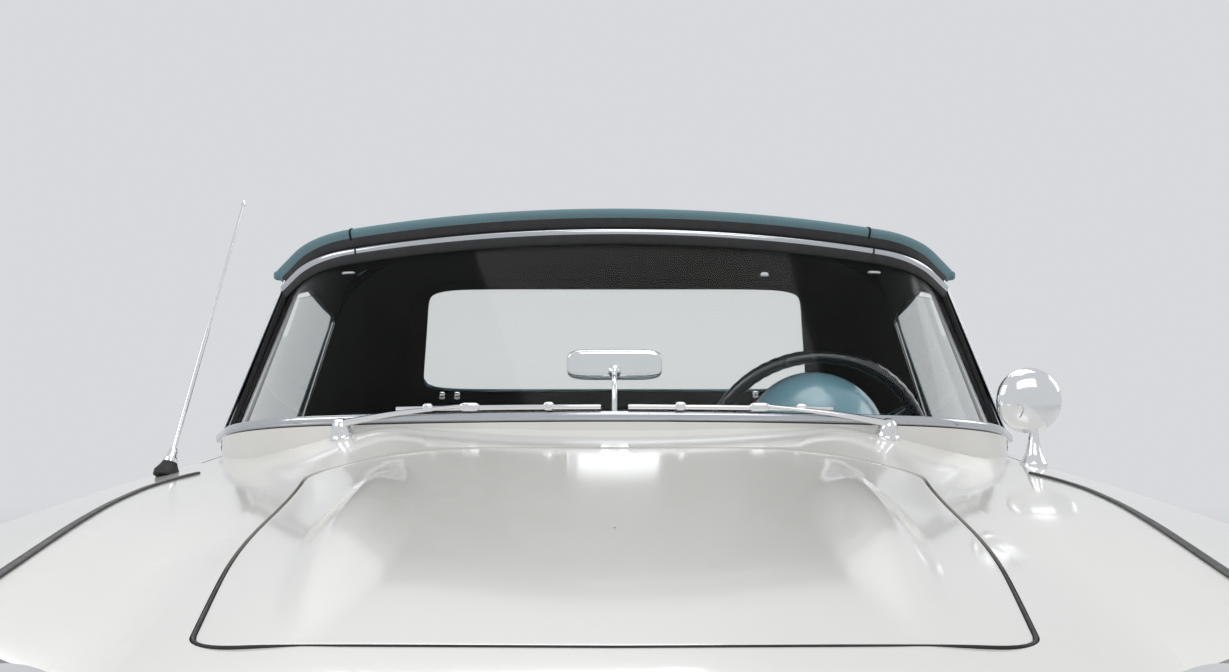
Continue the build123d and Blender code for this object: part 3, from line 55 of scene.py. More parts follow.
# Materials
class Shader:
    """A material's nodes, added and joined by short calls."""

    def __init__(self, name: str) -> None:
        """Makes an empty material with one Principled shader.

        Args:
            name: The material's name.
        """
        self.material = bpy.data.materials.new(name)
        self.material.use_nodes = True
        self.tree = self.material.node_tree
        self.skin = next(n for n in self.tree.nodes if n.type == "BSDF_PRINCIPLED")

    def node(self, kind: str, inputs: dict | None = None, **settings: object) -> bpy.types.Node:
        """Adds a node.

        Args:
            kind: The node's type name after ShaderNode.
            inputs: Socket names with a value or another node's output.
            settings: The node's own settings.

        Returns:
            The node.
        """
        made = self.tree.nodes.new("ShaderNode" + kind)
        for key, value in settings.items():
            setattr(made, key, value)
        for key, value in (inputs or {}).items():
            self.put(made.inputs[key], value)
        return made

    def put(self, socket: bpy.types.NodeSocket, value: object) -> None:
        """Sets a socket's value, or joins another node's output to it."""
        if isinstance(value, bpy.types.NodeSocket):
            self.tree.links.new(value, socket)
        elif socket.type == "RGBA" and len(value) == 3:
            socket.default_value = (*value, 1.0)
        else:
            socket.default_value = value

    def set(self, **values: object) -> None:
        """Sets sockets of the Principled shader, their names written with _ for a space."""
        for key, value in values.items():
            self.put(self.skin.inputs[key.replace("_", " ")], value)

    def place(self, scale: Point = (1, 1, 1), turn: Point = (0, 0, 0), source: str = "Object") -> object:
        """The place on the piece, stretched and turned.

        Args:
            scale: Stretch along each axis.
            turn: Turn about each axis, in radians.
            source: The coordinates read, Object or UV.

        Returns:
            The output that carries the place.
        """
        coords = self.node("TexCoord")
        mapping = self.node("Mapping", {"Vector": coords.outputs[source], "Scale": scale, "Rotation": turn})
        return mapping.outputs["Vector"]

    def noise(self, place: object, size: float, detail: float = 3.0, rough: float = 0.55) -> object:
        """Soft random patches of about one size in metres."""
        settings = {"Vector": place, "Scale": 1.0 / size, "Detail": detail, "Roughness": rough}
        return self.node("TexNoise", settings).outputs["Fac"]

    def cells(self, place: object, size: float, feature: str = "F1") -> object:
        """The distance to the middle of cells of about one size in metres."""
        settings = {"Vector": place, "Scale": 1.0 / size}
        return self.node("TexVoronoi", settings, feature=feature).outputs["Distance"]

    def threads(self, place: object, pitch: float, axis: str) -> object:
        """Round threads side by side along an axis, one pitch apart."""
        wave = self.node("TexWave", {"Vector": place, "Scale": 0.314 / pitch}, bands_direction=axis)
        return wave.outputs["Fac"]

    def calc(self, operation: str, first: object, second: object = 0.0) -> object:
        """One sum on two numbers."""
        made = self.node("Math", operation=operation)
        self.put(made.inputs[0], first)
        self.put(made.inputs[1], second)
        return made.outputs[0]

    def blend(self, share: object, first: object, second: object) -> object:
        """Two colours mixed by a share."""
        made = self.node("Mix", data_type="RGBA")
        self.put(made.inputs[0], share)
        self.put(made.inputs[6], first)
        self.put(made.inputs[7], second)
        return made.outputs[2]

    def span(self, value: object, low: float, high: float, to_low: float, to_high: float) -> object:
        """A number carried from one span to another and held inside it."""
        settings = {"Value": value, "From Min": low, "From Max": high, "To Min": to_low, "To Max": to_high}
        return self.node("MapRange", settings).outputs["Result"]

    def relief(self, height: object, depth: float, strength: float = 1.0) -> None:
        """Lets a height pattern, depth metres deep, turn the surface's shading."""
        made = self.node("Bump", {"Height": height, "Distance": depth, "Strength": strength})
        self.set(Normal=made.outputs["Normal"])

    def axis(self, place: object, name: str) -> object:
        """One coordinate of a place."""
        return self.node("SeparateXYZ", {"Vector": place}).outputs[name]


@dataclass(frozen=True)
class Finish:
    """A plain moulded or pressed surface with a fine grain and small changes of tone.

    The base colour is mixed with a darker one by soft patches, the roughness follows finer patches, and a
    fine noise stands up as relief.
    """

    name: str
    slot: str
    colour: Colour
    rough: float = 0.5
    metal: float = 0.0
    patch: float = 0.08
    tone: float = 0.85
    grain: float = 0.0012
    depth: float = 0.0001

    def make(self) -> bpy.types.Material:
        """Builds the material once and gives it again after that."""
        found = bpy.data.materials.get(self.name)
        if found:
            return found
        shader = Shader(self.name)
        shader.set(Base_Color=self.colour, Roughness=self.rough, Metallic=self.metal)
        self.dress(shader)
        return shader.material

    def shade(self, amount: float) -> Colour:
        """The finish's colour made darker or lighter."""
        return tuple(min(1.0, c * amount) for c in self.colour)

    def dress(self, shader: Shader) -> None:
        """Adds the pattern of tone, roughness and relief."""
        place = shader.place()
        patches = shader.noise(place, self.patch)
        shader.set(Base_Color=shader.blend(patches, self.shade(self.tone), self.shade(2 - self.tone)))
        wear = shader.noise(place, self.patch / 5, 4.0)
        shader.set(Roughness=shader.span(wear, 0.3, 0.7, self.rough * 0.85, min(1.0, self.rough * 1.15)))
        shader.relief(shader.noise(place, self.grain, 2.0), self.depth)


@dataclass(frozen=True)
class Enamel(Finish):
    """Body enamel under a clear coat, with a faint orange peel and road dust low on the sides."""

    coat: float = 1.0
    coat_rough: float = 0.09
    dust: Colour = (0.30, 0.27, 0.22)
    dust_top: float = 0.36

    def dress(self, shader: Shader) -> None:
        """Adds the peel, the slow change of tone and the dust below the sills."""
        shader.set(Coat_Weight=self.coat, Coat_Roughness=self.coat_rough, IOR=1.5)
        place = shader.place()
        patches = shader.noise(place, 0.6, 2.0)
        body = shader.blend(patches, self.shade(0.985), self.shade(1.01))
        height = shader.axis(place, "Z")
        low = shader.span(height, 0.20, self.dust_top, 1.0, 0.0)
        spread = shader.noise(place, 0.05, 5.0, 0.65)
        film = shader.calc("MULTIPLY", shader.calc("MULTIPLY", low, spread), 0.55)
        shader.set(Base_Color=shader.blend(film, body, self.dust))
        smooth = shader.span(shader.noise(place, 0.03, 4.0), 0.3, 0.7, self.rough, self.rough + 0.06)
        shader.set(Roughness=shader.calc("ADD", smooth, shader.calc("MULTIPLY", film, 0.4)))
        shader.relief(shader.noise(place, 0.0035, 1.0), 0.000025, 0.6)


@dataclass(frozen=True)
class Chrome(Finish):
    """Plated or polished metal, its roughness broken by wiping marks and a little pitting."""

    def dress(self, shader: Shader) -> None:
        """Adds wiping marks to the roughness and small pits to the relief."""
        place = shader.place()
        marks = shader.noise(shader.place((1, 1, 4)), 0.06, 5.0, 0.7)
        shader.set(Roughness=shader.span(marks, 0.35, 0.75, self.rough, self.rough * 2.2))
        haze = shader.noise(place, 0.09, 3.0)
        shader.set(Base_Color=shader.blend(haze, self.shade(0.94), self.shade(1.03)))
        pits = shader.span(shader.cells(place, 0.006), 0.0, 0.08, 0.0, 1.0)
        shader.relief(pits, 0.00004, 0.5)


@dataclass(frozen=True)
class Canvas(Finish):
    """Woven top cloth: two sets of threads cross, with thin slubs and soft patches of tone."""

    pitch: float = 0.0011
    sheen: float = 0.25

    def dress(self, shader: Shader) -> None:
        """Adds the weave to the relief, darkens its hollows in the colour as painted shade, and adds sheen.
        """
        shader.set(Sheen_Weight=self.sheen, Sheen_Roughness=0.5, Sheen_Tint=self.shade(1.5))
        place = shader.place()
        across = shader.threads(place, self.pitch, "X")
        along = shader.threads(place, self.pitch, "Y")
        weave = shader.calc("MULTIPLY", across, along)
        patches = shader.noise(place, 0.12, 5.0, 0.6)
        slubs = shader.noise(shader.place((0.15, 1, 1)), 0.002, 2.0)
        cloth = shader.blend(patches, self.shade(0.86), self.shade(1.12))
        # Painted shade: the colour darkens where the weave is low, between the threads.
        shader.set(Base_Color=shader.blend(shader.span(weave, 0, 1, 0.5, 0), cloth, self.shade(0.6)))
        shader.set(Roughness=shader.span(patches, 0.3, 0.7, self.rough - 0.06, self.rough + 0.06))
        shader.relief(shader.calc("ADD", weave, shader.calc("MULTIPLY", slubs, 0.6)), 0.0004, 0.7)


@dataclass(frozen=True)
class Hide(Finish):
    """Trim vinyl or leather with a pebbled grain of two sizes, polished high spots and painted shade in its
    creases.
    """

    pebble: float = 0.0022

    def dress(self, shader: Shader) -> None:
        """Adds the pebbled grain, with creases rougher than the tops and darkened by painted shade."""
        place = shader.place()
        large = shader.cells(place, self.pebble)
        small = shader.cells(place, self.pebble * 0.45)
        grain = shader.calc("ADD", large, shader.calc("MULTIPLY", small, 0.5))
        patches = shader.noise(place, 0.1, 4.0)
        hide = shader.blend(patches, self.shade(0.88), self.shade(1.1))
        # Painted shade: the colour darkens towards shade(0.55) in the creases between the pebbles.
        crease = shader.span(grain, 0.35, 0.95, 0.0, 0.45)
        shader.set(Base_Color=shader.blend(crease, hide, self.shade(0.55)), Specular_IOR_Level=0.45)
        shader.set(Roughness=shader.span(grain, 0.1, 0.9, self.rough - 0.05, self.rough + 0.15))
        shader.relief(shader.calc("MULTIPLY", grain, -1.0), 0.0004, 0.6)


@dataclass(frozen=True)
class Glazing(Finish):
    """Clear or tinted glass, or clear vinyl, with a trace of wiping haze."""

    haze: float = 0.0
    ior: float = 1.45

    def dress(self, shader: Shader) -> None:
        """Lets light through, its roughness broken by faint wiping marks."""
        shader.set(Transmission_Weight=1.0, IOR=self.ior, Base_Color=self.colour)
        marks = shader.noise(shader.place((1, 1, 0.3)), 0.05, 4.0, 0.6)
        shader.set(Roughness=shader.span(marks, 0.45, 0.75, self.rough, self.rough + self.haze))


@dataclass(frozen=True)
class Lens(Finish):
    """Moulded lamp glass with upright flutes on its face."""

    flute: float = 0.006
    clear: float = 0.9

    def dress(self, shader: Shader) -> None:
        """Lets light through and adds the flutes to the relief."""
        shader.set(Transmission_Weight=self.clear, IOR=1.5)
        place = shader.place()
        shader.set(Roughness=shader.span(shader.noise(place, 0.02), 0.4, 0.7, self.rough, self.rough + 0.05))
        shader.relief(shader.threads(place, self.flute, "X"), 0.0012, 0.8)


@dataclass(frozen=True)
class Pile(Finish):
    """Looped carpet: small tufts, painted lighter on their tops and darker between them as painted highlight
    and shade.
    """

    tuft: float = 0.004

    def dress(self, shader: Shader) -> None:
        """Adds the tufts to the relief, paints their tops lighter and their feet darker as painted highlight
        and shade, and adds a soft sheen.
        """
        shader.set(Sheen_Weight=0.4, Sheen_Roughness=0.6)
        place = shader.place()
        tufts = shader.cells(place, self.tuft)
        # Painted highlight and shade: lighter at each tuft's raised middle, darker towards its sunken edge.
        height = shader.span(tufts, 0, 0.8, 0, 1)
        shader.set(Base_Color=shader.blend(height, self.shade(1.15), self.shade(0.4)))
        shader.relief(shader.calc("MULTIPLY", tufts, -1.0), 0.002, 1.0)


@dataclass(frozen=True)
class Treaded(Finish):
    """Tyre rubber: a fine relief under patches of dust."""

    def dress(self, shader: Shader) -> None:
        """Adds dust patches and a fine relief."""
        place = shader.place()
        dust = shader.span(shader.noise(place, 0.03, 6.0, 0.7), 0.45, 0.75, 0.0, 0.6)
        shader.set(Base_Color=shader.blend(dust, self.colour, (0.13, 0.12, 0.11)))
        shader.set(Roughness=shader.span(dust, 0, 0.6, self.rough, 0.9))
        shader.relief(shader.noise(place, 0.0015, 3.0), 0.0002, 0.5)


@dataclass(frozen=True)
class StudioFloor(Finish):
    """A plain floor that fades into the background away from the car."""

    solid_to: float = 3.6
    gone_at: float = 8.5

    def dress(self, shader: Shader) -> None:
        """Adds the slow change of tone, and lets the floor go clear with distance from its middle."""
        super().dress(shader)
        away = shader.node("VectorMath", {"Vector": shader.place()}, operation="LENGTH").outputs["Value"]
        settings = {
            "Value": away, "From Min": self.solid_to, "From Max": self.gone_at, "To Min": 1.0, "To Max": 0.0,
        }
        fade = shader.node("MapRange", settings, interpolation_type="SMOOTHSTEP")
        shader.set(Alpha=fade.outputs["Result"])


TEAL = (0.170, 0.285, 0.325)
PAINT = Enamel("warm_white_enamel", "paint", (0.80, 0.785, 0.745), 0.30)
UNDERCOAT = Finish("sprayed_undercoat", "under", (0.035, 0.034, 0.033), 0.85, grain=0.004, depth=0.0012)
BRIGHT = Chrome("chrome_plate", "bright", (0.83, 0.84, 0.85), 0.06, 1.0)
MOULDING = Chrome("polished_moulding", "bright", (0.56, 0.58, 0.61), 0.10, 1.0)
WHEEL = Chrome("wheel_cover_chrome", "wheel", (0.80, 0.80, 0.82), 0.09, 1.0)
RIM_STEEL = Finish("rim_enamel", "wheel", (0.62, 0.61, 0.58), 0.35, patch=0.05, tone=0.93)
TOP_CLOTH = Canvas("blue_green_top_cloth", "cloth", TEAL, 0.85)
# Partly painted shade: black lining cloth, its colour pushed to near-black to stand for the shade under the
# roof.
BLACK_LINING_AND_PAINTED_SHADE = Canvas("black_top_lining_and_painted_shade", "dark", (0.006, 0.006, 0.007), 0.95, pitch=0.0009, sheen=0.0)
TRIM = Hide("blue_green_trim_vinyl", "trim", (0.10, 0.232, 0.275), 0.42)
DASH = Enamel("blue_green_dash_enamel", "trim", (0.135, 0.280, 0.345), 0.3, coat_rough=0.12, dust_top=0.21)
CARPET = Pile("blue_green_carpet", "trim", (0.055, 0.122, 0.142), 0.95)
RUBBER = Finish("black_rubber", "dark", (0.016, 0.016, 0.017), 0.62, grain=0.0009, depth=0.00012)
WHEEL_RIM = Enamel("steering_rim_plastic", "dark", (0.012, 0.018, 0.022), 0.22, dust_top=0.21)
# Painted reflection and shade: black standing in for the dark that the bright crest strips show.
CREST_PAINTED_DARK = Finish("crest_strip_painted_reflection_black", "dark", (0.012, 0.012, 0.013), 0.4)
GLASS = Glazing("plate_glass", "clear_glass", (0.97, 0.985, 0.98), 0.0, haze=0.012, ior=1.12)
VINYL_PANE = Glazing("clear_vinyl", "clear_glass", (0.93, 0.94, 0.92), 0.01, haze=0.04, ior=1.3)
HEAD_GLASS = Lens("headlamp_glass", "lamp", (0.95, 0.96, 0.96), 0.02)
SIDE_GLASS = Lens("side_lamp_glass", "lamp", (0.93, 0.93, 0.90), 0.06, flute=0.004, clear=0.75)
RED_GLASS = Lens("tail_lamp_glass", "red_lamp", (0.55, 0.012, 0.010), 0.08, flute=0.004, clear=0.55)
REFLECTOR = Chrome("reflector_silver", "lamp", (0.90, 0.91, 0.92), 0.04, 1.0)
STEEL = Finish("plain_steel", "steel", (0.30, 0.30, 0.31), 0.42, 0.9)
IRON = Finish("cast_iron", "iron", (0.055, 0.054, 0.052), 0.7, 0.5, grain=0.003, depth=0.0006)
TYRE = Treaded("tyre_rubber", "tyre", (0.021, 0.021, 0.022), 0.66)
WHITEWALL = Finish("whitewall_rubber", "tyre", (0.70, 0.69, 0.65), 0.6, patch=0.06, tone=0.95)
DIAL = Finish("dial_face", "dark", (0.02, 0.024, 0.026), 0.35)
MARKING = Finish("dial_marking", "dark", (0.75, 0.78, 0.70), 0.5)
FLOOR_GREY = StudioFloor(
    "studio_floor_grey", "paint", (0.80, 0.80, 0.795), 0.8, patch=1.5, tone=0.98, depth=0.0
)
SLOT_FINISH = {
    "paint": PAINT, "under": UNDERCOAT, "clear_glass": GLASS, "bright": BRIGHT, "cloth": TOP_CLOTH,
    "trim": TRIM, "dark": RUBBER, "lamp": HEAD_GLASS, "red_lamp": RED_GLASS, "steel": STEEL, "iron": IRON,
    "wheel": WHEEL, "tyre": TYRE,
}


# Surfaces
@dataclass
class Shape:
    """Points, faces of four corners, each face's finish number, and each point's own u and v."""

    points: Array
    faces: Array
    finish: Array
    uv: Array

    @staticmethod
    def grid(points: Array, around: bool = False, along: bool = False, ends: bool = False) -> "Shape":
        """A surface on a grid of points.

        Args:
            points: Rows by columns by three.
            around: Whether the last column joins the first.
            along: Whether the last row joins the first.
            ends: Whether each end row is closed on its own middle.

        Returns:
            The surface.
        """
        if ends:
            first, last = points[0].mean(0), points[-1].mean(0)
            wide = points.shape[1]
            points = np.concatenate([np.tile(first, (1, wide, 1)), points, np.tile(last, (1, wide, 1))])
        rows, cols = points.shape[:2]
        i, j = np.meshgrid(np.arange(rows - (not along)), np.arange(cols - (not around)), indexing="ij")
        i, j = i.ravel(), j.ravel()
        up, right = (i + 1) % rows, (j + 1) % cols
        faces = np.stack([i * cols + j, i * cols + right, up * cols + right, up * cols + j], 1)
        v, u = np.meshgrid(np.linspace(0, 1, rows), np.linspace(0, 1, cols), indexing="ij")
        uv = np.stack([u.ravel(), v.ravel()], 1)
        return Shape(points.reshape(-1, 3), faces, np.zeros(len(faces), int), uv)

    @staticmethod
    def joined(shapes: list["Shape"]) -> "Shape":
        """Several shapes as one."""
        starts = np.cumsum([0] + [len(s.points) for s in shapes[:-1]])
        return Shape(
            np.concatenate([s.points for s in shapes]),
            np.concatenate([s.faces + start for s, start in zip(shapes, starts)]),
            np.concatenate([s.finish for s in shapes]),
            np.concatenate([s.uv for s in shapes]),
        )

    def marked(self, number: int) -> "Shape":
        """The same shape with every face given one finish number."""
        return Shape(self.points, self.faces, np.full(len(self.faces), number), self.uv)

    def moved(self, by: Point) -> "Shape":
        """The same shape moved."""
        return Shape(self.points + np.array(by, float), self.faces, self.finish, self.uv)

    def mirrored(self) -> "Shape":
        """The same shape on the car's other side, its faces turned to match."""
        return Shape(self.points * (-1, 1, 1), self.faces[:, ::-1], self.finish, self.uv)

    def both(self) -> "Shape":
        """The shape and its mirror image."""
        return Shape.joined([self, self.mirrored()])

    def turned(self, axis: Point, degrees: float, about: Point = (0, 0, 0)) -> "Shape":
        """The same shape turned about an axis by Rodrigues' formula."""
        k = unit(np.array(axis, float))
        angle = math.radians(degrees)
        rest = self.points - np.array(about, float)
        turned = (
            rest * math.cos(angle)
            + np.cross(k, rest) * math.sin(angle)
            + np.outer(rest @ k, k) * (1 - math.cos(angle))
        )
        return Shape(turned + np.array(about, float), self.faces, self.finish, self.uv)


def unit(vectors: Array) -> Array:
    """Vectors made one long."""
    return vectors / np.maximum(np.linalg.norm(vectors, axis=-1, keepdims=True), 1e-12)


def hermite(knots: Array, values: Array, at: Array) -> Array:
    """A smooth curve through points: on each span, a cubic from the values and slopes at its two ends.

    Args:
        knots: Growing places of the points.
        values: The points' values, one row for each.
        at: Places to work out.

    Returns:
        One row of values for each place.
    """
    knots, values, at = np.asarray(knots, float), np.asarray(values, float), np.asarray(at, float)
    slopes = np.gradient(values, knots, axis=0)
    spans = np.clip(np.searchsorted(knots, at, side="right") - 1, 0, len(knots) - 2)
    width = (knots[spans + 1] - knots[spans]).reshape(-1, *[1] * (values.ndim - 1))
    t = ((at - knots[spans]).reshape(width.shape)) / width
    start, end = values[spans], values[spans + 1]
    return (
        (2 * t**3 - 3 * t**2 + 1) * start
        + (t**3 - 2 * t**2 + t) * width * slopes[spans]
        + (3 * t**2 - 2 * t**3) * end
        + (t**3 - t**2) * width * slopes[spans + 1]
    )


def smooth_path(points: list[Point], count: int) -> Array:
    """A smooth path through a few points, evenly spaced along it."""
    points = np.array(points, float)
    lengths = np.linalg.norm(np.diff(points, axis=0), axis=1)
    knots = np.concatenate([[0], np.cumsum(lengths)])
    return hermite(knots, points, np.linspace(0, knots[-1], count))


def circle(radius: float, count: int) -> Array:
    """A circle as a closed profile."""
    angle = np.linspace(0, 2 * math.pi, count, endpoint=False)
    return radius * np.stack([np.cos(angle), np.sin(angle)], 1)


def rounded(width: float, height: float, power: float = 4.0, count: int = 24) -> Array:
    """A closed profile between a box and an ellipse: |x/a|^p + |y/b|^p = 1."""
    angle = np.linspace(0, 2 * math.pi, count, endpoint=False)
    c, s = np.cos(angle), np.sin(angle)
    size = (np.abs(c) ** power + np.abs(s) ** power) ** (-1 / power)
    return np.stack([width / 2 * c * size, height / 2 * s * size], 1)


def sweep(
    path: Array, profile: Array, up: Point = (0, 0, 1), size: Array | None = None, loop: bool = False
) -> Shape:
    """A closed profile carried along a path.

    At each point of the path the profile's first number goes sideways, square to the path and to up, and its
    second goes square to both, times the size there.

    Args:
        path: The path's points.
        profile: The closed profile's points, two numbers each.
        up: The direction that the profile's second number leans to.
        size: A size for each path point, or a pair of sizes.
        loop: Whether the path closes on itself.

    Returns:
        The surface, closed at both ends unless it is a loop.
    """
    path = np.asarray(path, float)
    if loop:
        ahead = np.roll(path, -1, axis=0) - np.roll(path, 1, axis=0)
    else:
        ahead = np.gradient(path, axis=0)
    ahead = unit(ahead)
    side = unit(np.cross(ahead, np.array(up, float)))
    over = np.cross(side, ahead)
    scale = np.ones((len(path), 2)) if size is None else np.asarray(size, float).reshape(len(path), -1)
    scale = np.broadcast_to(scale, (len(path), 2))
    offset = side[:, None] * (profile[:, 0] * scale[:, :1])[..., None]
    offset = offset + over[:, None] * (profile[:, 1] * scale[:, 1:])[..., None]
    return Shape.grid(path[:, None] + offset, around=True, along=loop, ends=not loop)


def lathe(profile: list, centre: Point, axis: Point, count: int = 64, swell: Array | None = None) -> Shape:
    """A profile turned about an axis.

    Args:
        profile: Pairs of distance along the axis and radius, from one end to the other.
        centre: The axis' start.
        axis: Its direction.
        count: Steps around.
        swell: Added to the distance along the axis, one row for each step and a column for each pair.

    Returns:
        The surface, closed where its ends reach the axis.
    """
    profile = np.array(profile, float)
    axis = unit(np.array(axis, float))
    helper = np.array((0.0, 0.0, 1.0)) if abs(axis[2]) < 0.9 else np.array((1.0, 0.0, 0.0))
    side = unit(np.cross(helper, axis))
    over = np.cross(axis, side)
    angle = np.linspace(0, 2 * math.pi, count, endpoint=False)
    ring = np.cos(angle)[:, None] * side + np.sin(angle)[:, None] * over
    along = np.broadcast_to(profile[:, 0], (count, len(profile)))
    if swell is not None:
        along = along + swell
    points = np.array(centre, float) + along[..., None] * axis + ring[:, None] * profile[:, 1, None]
    return Shape.grid(points, along=True)


def pillow(
    half: Point, round_flat: float = 0.5, round_tall: float = 0.5, rows: int = 24, cols: int = 48
) -> Shape:
    """A rounded box about the origin: an ellipsoid's sines and cosines, each raised to a power up to one."""
    v = np.linspace(-math.pi / 2, math.pi / 2, rows)[:, None]
    u = np.linspace(0, 2 * math.pi, cols, endpoint=False)[None]

    def power(value: Array, exponent: float) -> Array:
        """A signed power."""
        return np.sign(value) * np.abs(value) ** exponent

    flat = power(np.cos(v), round_tall)
    points = np.stack(
        [
            half[0] * flat * power(np.cos(u), round_flat),
            half[1] * flat * power(np.sin(u), round_flat),
            half[2] * power(np.sin(v), round_tall) * np.ones_like(u),
        ],
        -1,
    )
    return Shape.grid(points, around=True)


def slab(top: Array, under: Array) -> Shape:
    """A closed plate between two grids of the same size, its four edges joined."""
    ring = np.concatenate([top, under[:, ::-1]], axis=1)
    shape = Shape.grid(ring, around=True, ends=False)
    ends = []
    for row in (0, -1):
        pair = np.stack([top[row], under[row]])
        ends.append(Shape.grid(pair))
    return Shape.joined([shape, *ends])


@dataclass(frozen=True)
class Build:
    """How a shape becomes a piece: its finishes, the body it rides on and what it stands for."""

    name: str
    finishes: tuple[Finish, ...]
    body: str = "car_body"
    replaces: tuple[str, ...] = ()
    crease: float = 35.0
    recalculate: bool = True

    def piece(self, shape: Shape) -> bpy.types.Object:
        """Makes the piece.

        Args:
            shape: Its surface in the car's frame.

        Returns:
            The object, riding on its body.
        """
        mesh = bpy.data.meshes.new(self.name)
        mesh.from_pydata(shape.points.tolist(), [], shape.faces.tolist())
        layer = mesh.uv_layers.new(name="UVMap")
        corners = np.zeros(len(mesh.loops), np.int32)
        mesh.loops.foreach_get("vertex_index", corners)
        layer.data.foreach_set("uv", shape.uv[corners].astype(np.float32).ravel())
        mesh.polygons.foreach_set("material_index", shape.finish.astype(np.int32))
        work = bmesh.new()
        work.from_mesh(mesh)
        bmesh.ops.remove_doubles(work, verts=work.verts, dist=2e-6)
        if self.recalculate:
            bmesh.ops.recalc_face_normals(work, faces=work.faces)
        work.to_mesh(mesh)
        work.free()
        return self.dressed(mesh)

    def dressed(self, mesh: bpy.types.Mesh) -> bpy.types.Object:
        """Gives a mesh its finishes, smooth shading and body, as an object."""
        mesh.polygons.foreach_set("use_smooth", np.ones(len(mesh.polygons), bool))
        mesh.set_sharp_from_angle(angle=math.radians(self.crease))
        for finish in self.finishes:
            mesh.materials.append(finish.make())
        mesh.update()
        piece = bpy.data.objects.new(self.name, mesh)
        bpy.context.scene.collection.objects.link(piece)
        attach(piece, self.body)
        if self.replaces:
            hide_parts(*self.replaces)
        LOG.info("%s: %d faces on %s", self.name, len(mesh.polygons), self.body)
        return piece


def vertices(mesh: bpy.types.Mesh) -> Array:
    """A mesh's points as rows of three."""
    flat = np.zeros(len(mesh.vertices) * 3, np.float32)
    mesh.vertices.foreach_get("co", flat)
    return flat.reshape(-1, 3).astype(float)


def triangles(mesh: bpy.types.Mesh) -> Array:
    """A triangulated mesh's faces as rows of three point numbers."""
    corners = np.zeros(len(mesh.loops), np.int32)
    mesh.loops.foreach_get("vertex_index", corners)
    return corners.reshape(-1, 3)


def evaluated(piece: bpy.types.Object) -> bpy.types.Mesh:
    """A new mesh of a piece with its modifiers applied."""
    return bpy.data.meshes.new_from_object(piece.evaluated_get(bpy.context.evaluated_depsgraph_get()))


class Side(Enum):
    """A side of the car."""

    LEFT = "left"
    RIGHT = "right"

    def on_door(self, name: str, finishes: tuple[Finish, ...], left: Shape) -> None:
        """Makes a piece on this side's door.

        Args:
            name: The piece's name without its side.
            finishes: Its finishes.
            left: Its shape on the left door.
        """
        shape = left if self is Side.LEFT else left.mirrored()
        Build(f"{name}_{self.value}", finishes, f"door_{self.value}_body").piece(shape)


class Skin:
    """The painted panels' outer surface, read for the places of what stands on it."""

    def __init__(self, nodes: tuple[str, ...]) -> None:
        """Gathers the panels' triangles into one tree for rays."""
        points, faces, start = [], [], 0
        for name in nodes:
            mesh = frame["nodes"][name].data
            points.append(vertices(mesh))
            faces.append(triangles(mesh) + start)
            start += len(mesh.vertices)
        self.tree = BVHTree.FromPolygons(np.concatenate(points).tolist(), np.concatenate(faces).tolist())

    def above(self, x: float, y: float) -> float:
        """The skin's height at a place in plan."""
        hit = self.tree.ray_cast(Vector((x, y, 2.0)), Vector((0, 0, -1)))[0]
        return hit.z if hit else 0.0

    def beside(self, y: float, z: float) -> float:
        """How far out the left side's skin is at a place in side view."""
        hit = self.tree.ray_cast(Vector((1.5, y, z)), Vector((-1, 0, 0)))[0]
        return hit.x if hit else 0.0


PANELS = (
    "nose_panel", "cowl_panel", "fender_front_left", "fender_front_right", "hood", "door_left", "door_right",
    "quarter_left", "quarter_right", "rear_deck", "trunk_lid", "tail_panel",
)
SKIN = Skin(PANELS)


# Sub-assemblies
@dataclass
class Panels:
    """Every CAD node that stays, dressed by its slot in the record or by its own finish."""

    own: dict[str, Finish] = field(default_factory=lambda: {
        "rear_window": VINYL_PANE, "windshield_frame": RUBBER, "dash": DASH, "steering_column": DASH,
        "parking_lamps": SIDE_GLASS, "engine_block": IRON,
    })

    def dress(self) -> None:
        """Gives each node its finish."""
        slots = {part["node"]: part["material_slot"] for part in frame["record"]["subparts"]}
        for name, slot in slots.items():
            data = frame["nodes"][name].data
            data.materials.clear()
            data.materials.append(self.own.get(name, SLOT_FINISH[slot]).make())
        LOG.info("dressed %d solids", len(slots))


